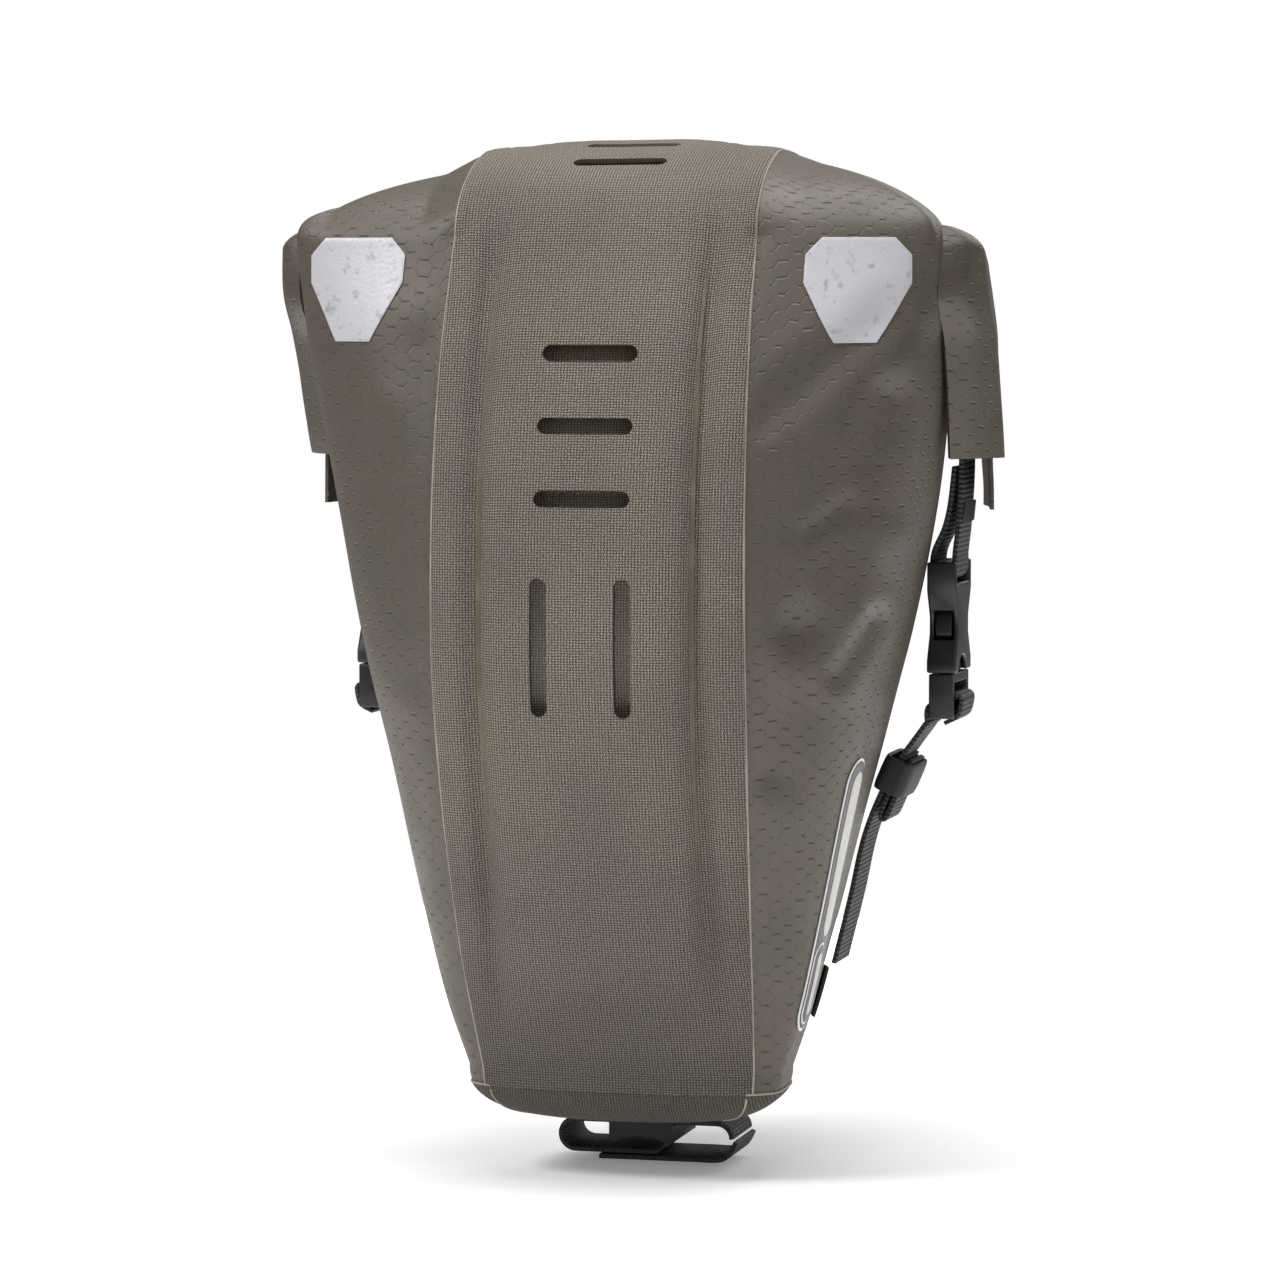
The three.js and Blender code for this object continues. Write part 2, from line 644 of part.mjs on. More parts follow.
const padY = footCentreY + 28;
const loopTopZ = -2.2;
function addSeatpostStrap() {
  const loopZ = loopTopZ - strapLoopDepth / 2;
  const ring = bandRing(strapLoopHalf, strapLoopDepth / 2, strapWall).translate([1, 0, loopZ]);
  const cutRight = boxSolid([5, -far, -far], [far, far, loopZ]);
  addPiece("seatpost_strap", ring.subtract(cutRight), "webbing");
  const tabTop = loopTopZ - strapLoopDepth - 0.4;
  const tabHalf = strapWidth / 2;
  const tab = prism("y", [
    [-14, tabTop], [-14, tabTop - strapWall], [26, tabTop - strapWall], [30.6, loopZ - 0.6],
    [28.9, loopZ - 0.6], [25, tabTop],
  ], padY - tabHalf, padY + tabHalf);
  addPiece("strap_tab", tab, "webbing");
  const padHalf = 10;
  const padArchRise = 4.8;
  const slotHalf = tabHalf + 0.7;
  const slotLow = loopTopZ - strapWall - 0.5;
  const slot = boxSolid([-far, padY - slotHalf, slotLow], [far, padY + slotHalf, loopTopZ + 0.4]);
  const arch = rodSolid("y", [0, padY, loopTopZ - padArchRise - seatpostRadius], seatpostRadius, 60, 36);
  const padReach = tabHalf + 3;
  const padLow = [-padHalf, padY - padReach, loopTopZ - 7];
  const padBlock = boxSolid(padLow, [padHalf, padY + padReach, 8 - skinGap]);
  const pad = padBlock.subtract(bagSolid(skinGap)).subtract(slot).subtract(arch);
  addPiece("seatpost_pad", pad, "rubber");
}

// ---- quick-release bracket ----
const screwSpots = [];
for (const x of [-20, 20]) for (const rise of [-30, 30]) screwSpots.push([x, bracketHeight + rise]);

function screwHoles() {
  return screwSpots
    .map(([x, z]) => rodSolid("y", [x, 30, z], screwRadius + 0.3, 80, 16))
    .reduce((all, hole) => all.add(hole));
}

const channelDeep = receiverFace - 3 - tongueWall - slideClearance;
function addReceiver() {
  const low = bracketHeight - receiverLength / 2;
  const high = bracketHeight + receiverLength / 2;
  const stop = high - 4;
  const channelEnd = receiverFace - 3 + slideClearance;
  const wide = tongueWide + slideClearance;
  const neck = tongueNeck + slideClearance;
  const ears = [-16, 10].map((x) => boxSolid([x, 50, high - 1], [x + 6, 61, high + 11]));
  let solid = boxSolid([-receiverHalf, 10, low], [receiverHalf, receiverFace, high]);
  for (const ear of ears) solid = solid.add(ear);
  solid = solid
    .subtract(bagSolid(skinGap + 0.25))
    .subtract(boxSolid([-wide, channelDeep, low - 1], [wide, channelEnd, stop]))
    .subtract(boxSolid([-neck, channelDeep, low - 1], [neck, receiverFace + 1, stop]))
    .subtract(rodSolid("x", [0, 57, high + 6], 1.6, 60, 16))
    .subtract(screwHoles().intersect(boxSolid([-far, 0, 0], [far, channelDeep - 2, far])));
  addPiece("bracket_receiver", solid, "nylon");
  addPiece("lever_pin", rodSolid("x", [0, 57, high + 6], 1.5, 31, 16), "steel");
  const lever = boxSolid([-9, 55.2, high + 2], [9, 59, high + 24])
    .subtract(rodSolid("x", [0, 57, high + 6], 1.6, 60, 16))
    .add(boxSolid([-9, 58, high + 18], [9, 61.5, high + 24]));
  addPiece("release_lever", lever, "acetal");
}

function addBackingPlate() {
  const outside = -fabricWall - skinGap;
  const plate = wallLayer(outside, 2.4)
    .intersect(boxSolid([-receiverHalf, 0, bracketHeight - 36], [receiverHalf, far, bracketHeight + 36]))
    .subtract(screwHoles());
  addPiece("backing_plate", plate, "nylon");
  screwSpots.forEach(([x, z], i) => {
    const inner = stationAt(z).front - fabricWall - skinGap - 2.4;
    const head = rodSolid("y", [x, inner - 3, z], 3.8, 2.6, 16);
    const shankMiddle = (inner + channelDeep) / 2 - 3;
    const shank = rodSolid("y", [x, shankMiddle, z], screwRadius, channelDeep - inner, 16);
    addPiece(`bracket_screw_${i + 1}`, head.add(shank), "steel");
  });
}

const jawFace = receiverFace + 2 + lowerJawWall;
function addRailClamp() {
  const jawLow = bracketHeight - jawLength / 2;
  const jawHigh = bracketHeight + jawLength / 2;
  const railLine = jawFace + jawSplit / 2;
  const railBore = railRadius + railClearance;
  const rails = [-1, 1].map((sign) =>
    rodSolid("z", [(sign * railSpacing) / 2, railLine, bracketHeight], railBore, jawLength + 4, 28));
  const boltHoles = [-1, 1].map((sign) =>
    rodSolid("y", [(sign * boltSpacing) / 2, jawFace + 4, bracketHeight], boltRadius + 0.25, 26, 20));
  const tongueLow = bracketHeight - receiverLength / 2 + 4;
  const tongueHigh = bracketHeight + receiverLength / 2 - 4 - slideClearance;
  const tongueDeep = channelDeep + slideClearance;
  const wideTop = tongueDeep + tongueWall - slideClearance;
  let lower = boxSolid([-jawHalf, jawFace - lowerJawWall, jawLow], [jawHalf, jawFace, jawHigh])
    .add(boxSolid([-tongueNeck, tongueDeep, tongueLow], [tongueNeck, jawFace - lowerJawWall + 1, tongueHigh]))
    .add(boxSolid([-tongueWide, tongueDeep, tongueLow], [tongueWide, wideTop, tongueHigh]));
  const upperFoot = jawFace + jawSplit;
  let upper = boxSolid([-jawHalf, upperFoot, jawLow], [jawHalf, upperFoot + upperJawWall, jawHigh]);
  // The heads lie in round recesses, clear of the jaw's flat outer face
  const headFoot = upperFoot + upperJawWall - boltHeadHeight - 0.3;
  const recessMiddle = headFoot + 9.9;
  const recessRadius = boltHeadRadius + 0.4;
  const recesses = [-1, 1].map((sign) =>
    rodSolid("y", [(sign * boltSpacing) / 2, recessMiddle, bracketHeight], recessRadius, 20, 28));
  for (const cut of [...rails, ...boltHoles]) {
    lower = lower.subtract(cut);
    upper = upper.subtract(cut);
  }
  for (const recess of recesses) upper = upper.subtract(recess);
  addPiece("rail_jaw_lower", lower, "aluminium");
  addPiece("rail_jaw_upper", upper, "aluminium");
  [-1, 1].forEach((sign, i) => {
    const x = (sign * boltSpacing) / 2;
    const shankFoot = jawFace - lowerJawWall + 2.4;
    const headMiddle = headFoot + boltHeadHeight / 2;
    const head = rodSolid("y", [x, headMiddle, bracketHeight], boltHeadRadius, boltHeadHeight, 20)
      .subtract(rodSolid("y", [x, headFoot + 4, bracketHeight], 2, 3, 6));
    const shankMiddle = (shankFoot + headFoot + 1) / 2;
    const shank = rodSolid("y", [x, shankMiddle, bracketHeight], boltRadius, headFoot + 1 - shankFoot, 20);
    addPiece(`clamp_bolt_${i + 1}`, head.add(shank), "steel");
  });
}

addPanels();
addRearLining();
addReflectors();
addLabels();
addMouthRoll();
addRollEnds();
addEndWebbing();
addHousings();
addPlugs();
addSideStraps();
addSeatpostStrap();
addReceiver();
addBackingPlate();
addRailClamp();

// The origin is on the lower jaw's flat seat, midway between the rails
bag.position.set(0, -jawFace, -bracketHeight);
const group = new THREE.Group();
group.add(bag);

export default group;
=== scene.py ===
import math

import bpy
from mathutils import Matrix, Vector, noise
from mathutils.bvhtree import BVHTree


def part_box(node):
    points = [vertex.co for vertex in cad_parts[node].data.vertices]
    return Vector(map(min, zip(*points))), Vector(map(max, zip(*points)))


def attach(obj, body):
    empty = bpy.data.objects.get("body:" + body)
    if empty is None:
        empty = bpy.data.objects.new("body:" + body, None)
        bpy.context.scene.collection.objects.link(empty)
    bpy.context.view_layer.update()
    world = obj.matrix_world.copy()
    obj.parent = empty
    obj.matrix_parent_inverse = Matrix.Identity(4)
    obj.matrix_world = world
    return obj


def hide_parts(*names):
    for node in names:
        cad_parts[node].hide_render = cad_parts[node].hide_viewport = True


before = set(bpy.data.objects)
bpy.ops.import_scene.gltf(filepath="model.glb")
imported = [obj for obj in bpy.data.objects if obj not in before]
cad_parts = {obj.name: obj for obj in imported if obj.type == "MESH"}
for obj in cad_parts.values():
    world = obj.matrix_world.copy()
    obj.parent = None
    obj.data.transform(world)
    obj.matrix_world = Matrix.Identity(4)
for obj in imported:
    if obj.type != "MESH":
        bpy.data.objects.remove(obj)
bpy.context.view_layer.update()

# The bag is modelled in its own millimetres: x to the right, y forward to the saddle, z up from the foot
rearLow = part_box("rear_panel")[0]
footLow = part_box("base_panel")[0]

bagShape = {
    "height": 299,
    "halfWidth": 100,
    "rearReach": 80,
    "frontReach": 54,
    "rearPower": 0.77,
    "footCentreY": -20,
    "footPower": 2.6,
    "domeCentreY": 8,
    "up": [0.057, 0.12, 0.19, 0.318, 0.41, 0.502, 0.652, 0.786, 0.903],
    "half": [0.493, 0.555, 0.605, 0.69, 0.757, 0.823, 0.914, 0.968, 0.99],
    "rear": [-0.525, -0.63, -0.75, -0.9, -0.968, -1, -0.965, -0.838, -0.65],
    "waist": [-25, -25, -24, -20, -17, -14, -14, -28, -44],
    "front": [0.15, 0.24, 0.37, 0.6, 0.745, 0.86, 0.98, 1, 0.93],
    "frontPower": [0.5, 0.5, 0.5, 0.52, 0.54, 0.56, 0.62, 0.74, 0.88],
}
bagZero = Vector((0, rearLow.y + bagShape["rearReach"] / 1000, footLow.z))
toRow = Matrix.Translation(bagZero) @ Matrix.Scale(0.001, 4)
footTop = bagShape["up"][0] * bagShape["height"]
domeBase = bagShape["up"][-1] * bagShape["height"]
footSeam = 0.68 * footTop

seams = {
    "heights": [-10, 60, 150, 309],
    "halves": [40, 45, 47.5, 45.5],
    "mouthLow": 256.5,
}


sides = (("Right", 1), ("Left", -1))


# Small helpers
def clamp(value, low=0.0, high=1.0):
    return max(low, min(high, value))


def ease(value, low, high):
    share = clamp((value - low) / (high - low))
    return share * share * (3 - 2 * share)


def curveThrough(spots, values, at):
    # A smooth curve through values at rising spots
    if at <= spots[0]:
        return values[0]
    if at >= spots[-1]:
        return values[-1]
    i = max(k for k in range(len(spots) - 1) if spots[k] <= at)
    span = spots[i + 1] - spots[i]
    slopes = []
    for k in (i, i + 1):
        low, high = max(k - 1, 0), min(k + 1, len(spots) - 1)
        slopes.append((values[high] - values[low]) / (spots[high] - spots[low]) * span)
    t = (at - spots[i]) / span
    a, b = values[i], values[i + 1]
    return (
        (2 * t**3 - 3 * t**2 + 1) * a + (t**3 - 2 * t**2 + t) * slopes[0]
        + (-2 * t**3 + 3 * t**2) * b + (t**3 - t**2) * slopes[1]
    )


def routeThrough(points, share):
    # A smooth route through points of any size, share 0 to 1 along it
    spots = [0.0]
    for a, b in zip(points, points[1:]):
        spots.append(spots[-1] + max(1e-6, math.dist(a, b)))
    spots = [spot / spots[-1] for spot in spots]
    return [curveThrough(spots, [p[k] for p in points], share) for k in range(len(points[0]))]


def linear(hexColour):
    channels = [int(hexColour[i:i + 2], 16) / 255 for i in (1, 3, 5)]
    return [c / 12.92 if c <= 0.04045 else ((c + 0.055) / 1.055) ** 2.4 for c in channels] + [1.0]


def addNode(tree, kind, settings, inputs):
    node = tree.nodes.new("ShaderNode" + kind)
    for name, value in settings.items():
        setattr(node, name, value)
    for socket, value in inputs.items():
        if isinstance(value, bpy.types.NodeSocket):
            tree.links.new(value, node.inputs[socket])
        else:
            node.inputs[socket].default_value = value
    return node


# The bag's surface
def stationAt(z):
    share = z / bagShape["height"]
    up = bagShape["up"]
    return {
        "half": curveThrough(up, bagShape["half"], share) * bagShape["halfWidth"],
        "rear": curveThrough(up, bagShape["rear"], share) * bagShape["rearReach"],
        "waist": curveThrough(up, bagShape["waist"], share),
        "front": curveThrough(up, bagShape["front"], share) * bagShape["frontReach"],
        "frontPower": curveThrough(up, bagShape["frontPower"], share),
    }


def ringPoint(station, angle):
    cos, sin = math.cos(angle), math.sin(angle)
    power = bagShape["rearPower"] if sin < 0 else station["frontPower"]
    reach = station["waist"] - station["rear"] if sin < 0 else station["front"] - station["waist"]
    x = station["half"] * math.copysign(abs(cos) ** power, cos)
    y = station["waist"] + reach * math.copysign(abs(sin) ** power, sin)
    return x, y


def makeForm():
    # The bag's bare surface, which the pieces are laid on
    around = 320
    rows = []
    for step in range(1, 30):
        angle = step / 30 * math.pi / 2
        rise = math.cos(angle) ** (2 / bagShape["footPower"])
        shrink = math.sin(angle) ** (2 / bagShape["footPower"])
        rows.append((stationAt(footTop), shrink, bagShape["footCentreY"], footTop * (1 - rise)))
    for step in range(161):
        z = footTop + step / 160 * (domeBase - footTop)
        rows.append((stationAt(z), 1, 0, z))
    for step in range(1, 60):
        angle = step / 60 * math.pi / 2
        top = bagShape["height"] - domeBase
        rows.append((stationAt(domeBase), math.cos(angle), bagShape["domeCentreY"],
            domeBase + top * math.sin(angle)))
    corners = []
    for station, shrink, centreY, z in rows:
        for i in range(around):
            x, y = ringPoint(station, i / around * 2 * math.pi)
            corners.append((x * shrink, centreY + (y - centreY) * shrink, z))
    faces = []
    for r in range(len(rows) - 1):
        for i in range(around):
            a, b = r * around + i, r * around + (i + 1) % around
            faces.append((a, b, b + around, a + around))
    last = (len(rows) - 1) * around
    faces.append(tuple(reversed(range(around))))
    faces.append(tuple(range(last, last + around)))
    return BVHTree.FromPolygons(corners, faces)


form = makeForm()


def hit(origin, direction):
    place, normal = form.ray_cast(Vector(origin), Vector(direction))[:2]
    if normal.dot(Vector(direction)) < 0:
        normal = -normal
    return place, normal


def onto(x, y, z, direction, lift=0.0, skin=None):
    # The bag's surface (or a finished skin) met from outside, going along direction, and lifted off it
    away = Vector(direction).normalized()
    place, normal = (skin or form).ray_cast(Vector((x, y, z)) - away * 400, away)[:2]
    if normal.dot(away) > 0:
        normal = -normal
    return place + normal * lift


def seamHalf(z):
    return curveThrough(seams["heights"], seams["halves"], z)


# Making pieces
def pickOnly(piece):
    bpy.ops.object.select_all(action="DESELECT")
    piece.select_set(True)
    bpy.context.view_layer.objects.active = piece


def softenRows(piece, columns, low, high, times):
    # Evens out a crease across a grid between two heights, and leaves its two long edges where they are
    mesh = piece.data
    width = columns + 1
    for _ in range(times):
        before = [v.co.copy() for v in mesh.vertices]
        for index in range(width, len(before) - width):
            if low < before[index].z < high and 2 < index % width < columns - 2:
                beside = (before[index - width] + before[index + width]) * 0.25
                mesh.vertices[index].co = before[index] * 0.5 + beside


def gridPiece(name, across, along, shape, middle=True, soften=None):
    # A flat grid bent into place by shape(s, t); its UV map holds the cloth's own millimetres
    bpy.ops.object.select_all(action="DESELECT")
    bpy.ops.mesh.primitive_grid_add(x_subdivisions=across, y_subdivisions=along, size=2)
    piece = bpy.context.object
    piece.name = name
    piece.data.name = name
    mesh = piece.data
    columns = sorted({round(v.co.x, 4) for v in mesh.vertices})
    lines = sorted({round(v.co.y, 4) for v in mesh.vertices})
    columnOf = {value: i for i, value in enumerate(columns)}
    lineOf = {value: i for i, value in enumerate(lines)}
    spots = {}
    for vertex in mesh.vertices:
        key = (columnOf[round(vertex.co.x, 4)], lineOf[round(vertex.co.y, 4)])
        spots[key] = vertex.index
        vertex.co = shape(key[0] / (len(columns) - 1), key[1] / (len(lines) - 1))
    if soften:
        softenRows(piece, across, *soften)
    centre = (len(columns) - 1) // 2 if middle else 0
    places = [None] * len(mesh.vertices)
    rise = 0.0
    for j in range(len(lines)):
        if j:
            a, b = mesh.vertices[spots[centre, j - 1]].co, mesh.vertices[spots[centre, j]].co
            rise += (b - a).length
        reach = [0.0]
        for i in range(1, len(columns)):
            a, b = mesh.vertices[spots[i - 1, j]].co, mesh.vertices[spots[i, j]].co
            reach.append(reach[-1] + (b - a).length)
        for i in range(len(columns)):
            places[spots[i, j]] = (reach[i] - reach[centre], rise)
    for loop in mesh.loops:
        mesh.uv_layers[0].data[loop.index].uv = places[loop.vertex_index]
    return piece


def withModifier(piece, kind, **settings):
    pickOnly(piece)
    modifier = piece.modifiers.new(kind.lower(), kind)
    for name, value in settings.items():
        setattr(modifier, name, value)
    bpy.ops.object.modifier_apply(modifier=modifier.name)
    return piece


def thicken(piece, wall, bevel=0.0, offset=-1):
    withModifier(piece, "SOLIDIFY", thickness=wall, offset=offset, use_even_offset=False)
    if bevel:
        withModifier(piece, "BEVEL", width=bevel, segments=2, limit_method="ANGLE",
            angle_limit=math.radians(50))
    return piece


def drape(piece, rise):
    # Moves each vertex along its normal by rise(place)
    mesh = piece.data
    mesh.update()
    moves = [v.normal * rise(v.co) for v in mesh.vertices]
    for vertex, move in zip(mesh.vertices, moves):
        vertex.co += move
    mesh.update()
    return piece


def turnOut(piece):
    pickOnly(piece)
    bpy.ops.object.mode_set(mode="EDIT")
    bpy.ops.mesh.select_all(action="SELECT")
    bpy.ops.mesh.flip_normals()
    bpy.ops.object.mode_set(mode="OBJECT")
    return piece


def mirroredCopy(piece, name):
    twin = piece.copy()
    twin.data = piece.data.copy()
    twin.name = name
    twin.data.name = name
    bpy.context.scene.collection.objects.link(twin)
    twin.data.transform(Matrix.Scale(-1, 4, (1, 0, 0)))
    return turnOut(twin)


def settle(piece, material, slot, body, *nodes, angle=38):
    # Into the row frame, with its finish, its body and the CAD nodes that it stands for
    piece.data.transform(toRow)
    piece.data.materials.clear()
    piece.data.materials.append(material)
    pickOnly(piece)
    bpy.ops.object.shade_smooth_by_angle(angle=math.radians(angle))
    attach(piece, body)
    if nodes:
        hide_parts(*nodes)
    return piece


def bevelledCopy(node, name, width):
    # A CAD node's shape with its sharp edges rounded, kept in the row frame's metres
    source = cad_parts[node]
    piece = source.copy()
    piece.data = source.data.copy()
    piece.name = name
    piece.data.name = name
    for key in list(piece.keys()):
        del piece[key]
    piece.parent = None
    bpy.context.scene.collection.objects.link(piece)
    piece.data.transform(toRow.inverted())
    pickOnly(piece)
    bpy.ops.object.mode_set(mode="EDIT")
    bpy.ops.mesh.select_all(action="SELECT")
    bpy.ops.mesh.remove_doubles(threshold=0.001)
    bpy.ops.mesh.dissolve_limited(angle_limit=math.radians(1))
    bpy.ops.object.mode_set(mode="OBJECT")
    withModifier(piece, "BEVEL", width=width, segments=3, limit_method="ANGLE", angle_limit=math.radians(40))
    return piece


# Materials
def newMaterial(name):
    material = bpy.data.materials.new(name)
    material.use_nodes = True
    tree = material.node_tree
    tree.nodes.clear()
    out = tree.nodes.new("ShaderNodeOutputMaterial")
    shader = tree.nodes.new("ShaderNodeBsdfPrincipled")
    tree.links.new(shader.outputs[0], out.inputs[0])
    return material, tree, shader


weaveLook = {
    "threadAcross": 0.92, "threadUp": 0.8,
    "low": "#2b251c", "middle": "#6d6458", "high": "#a0968a",
    "bump": 0.8, "roughness": 0.6, "footShade": 0.55,
}


def wovenPolyester(name, low, middle, high):
    # Coarse polyester weave under a thin matt coating: raised light threads, dark gaps, slow patches of
    # wear, and painted shade that darkens the cloth towards the foot
    material, tree, shader = newMaterial(name)
    place = addNode(tree, "TexCoord", {}, {})
    threads = addNode(tree, "Mapping", {},
        {0: place.outputs["UV"], 3: (1 / weaveLook["threadAcross"], 1 / weaveLook["threadUp"], 1)})
    sway = addNode(tree, "TexNoise", {"noise_dimensions": "2D"},
        {"Vector": threads.outputs[0], "Scale": 0.35, "Detail": 2})
    shift = addNode(tree, "VectorMath", {"operation": "SUBTRACT"},
        {0: sway.outputs["Color"], 1: (0.5, 0.5, 0.5)})
    moved = addNode(tree, "VectorMath", {"operation": "MULTIPLY_ADD"},
        {0: shift.outputs[0], 1: (0.5, 0.5, 0), 2: threads.outputs[0]})
    period = math.pi / 10
    warp = addNode(tree, "TexWave", {"wave_type": "BANDS", "bands_direction": "X"},
        {"Vector": moved.outputs[0], "Scale": period})
    weft = addNode(tree, "TexWave", {"wave_type": "BANDS", "bands_direction": "Y"},
        {"Vector": moved.outputs[0], "Scale": period})
    over = addNode(tree, "TexChecker", {}, {"Vector": moved.outputs[0], "Scale": 1.0})
    height = addNode(tree, "Mix", {},
        {0: over.outputs["Fac"], 2: warp.outputs["Fac"], 3: weft.outputs["Fac"]})
    other = addNode(tree, "Mix", {}, {0: over.outputs["Fac"], 2: weft.outputs["Fac"], 3: warp.outputs["Fac"]})
    dip = addNode(tree, "Math", {"operation": "MULTIPLY_ADD"}, {0: other.outputs[0], 1: 0.45, 2: 0.55})
    thread = addNode(tree, "Math", {"operation": "MULTIPLY"}, {0: height.outputs[0], 1: dip.outputs[0]})
    fleck = addNode(tree, "TexNoise", {"noise_dimensions": "2D"},
        {"Vector": threads.outputs[0], "Scale": 1.3, "Detail": 3})
    mixed = addNode(tree, "Math", {"operation": "MULTIPLY_ADD"}, {0: fleck.outputs["Fac"], 1: 0.7, 2: -0.35})
    tone = addNode(tree, "Math", {"operation": "ADD", "use_clamp": True},
        {0: thread.outputs[0], 1: mixed.outputs[0]})
    ramp = addNode(tree, "ValToRGB", {}, {0: tone.outputs[0]})
    ramp.color_ramp.elements[0].color = linear(low)
    ramp.color_ramp.elements[1].color = linear(high)
    ramp.color_ramp.elements.new(0.42).color = linear(middle)
    patch = addNode(tree, "TexNoise", {}, {"Vector": place.outputs["Object"], "Scale": 22, "Detail": 3})
    wear = addNode(tree, "MapRange", {}, {0: patch.outputs["Fac"], 1: 0.3, 2: 0.7, 3: 0.86, 4: 1.1})
    colour = addNode(tree, "Mix", {"data_type": "RGBA", "blend_type": "MULTIPLY"},
        {0: 1.0, 6: ramp.outputs[0], 7: wear.outputs[0]})
    # Painted shade: the colour is darkened towards the bottom of the bag, standing in for the shade on its
    # lower part
    level = addNode(tree, "SeparateXYZ", {}, {0: place.outputs["Object"]})
    paintedFootShade = addNode(tree, "MapRange", {},
        {0: level.outputs[2], 1: -0.134, 2: -0.02, 3: weaveLook["footShade"], 4: 1.0})
    footShadedColour = addNode(tree, "Mix", {"data_type": "RGBA", "blend_type": "MULTIPLY"},
        {0: 1.0, 6: colour.outputs[2], 7: paintedFootShade.outputs[0]})
    tree.links.new(footShadedColour.outputs[2], shader.inputs["Base Color"])
    rough = addNode(tree, "MapRange", {},
        {0: thread.outputs[0], 3: weaveLook["roughness"] + 0.14, 4: weaveLook["roughness"]})
    tree.links.new(rough.outputs[0], shader.inputs["Roughness"])
    bump = addNode(tree, "Bump", {},
        {"Strength": weaveLook["bump"], "Distance": 0.0004, "Height": thread.outputs[0]})
    tree.links.new(bump.outputs[0], shader.inputs["Normal"])
    shader.inputs["IOR"].default_value = 1.5
    return material


ripstopLook = {
    "cell": 5.0, "ridge": 0.05, "base": "#514b41", "warm": "#584b43", "cool": "#4b483c", "line": "#352f27",
    "bump": 0.5, "roughness": 0.5,
}


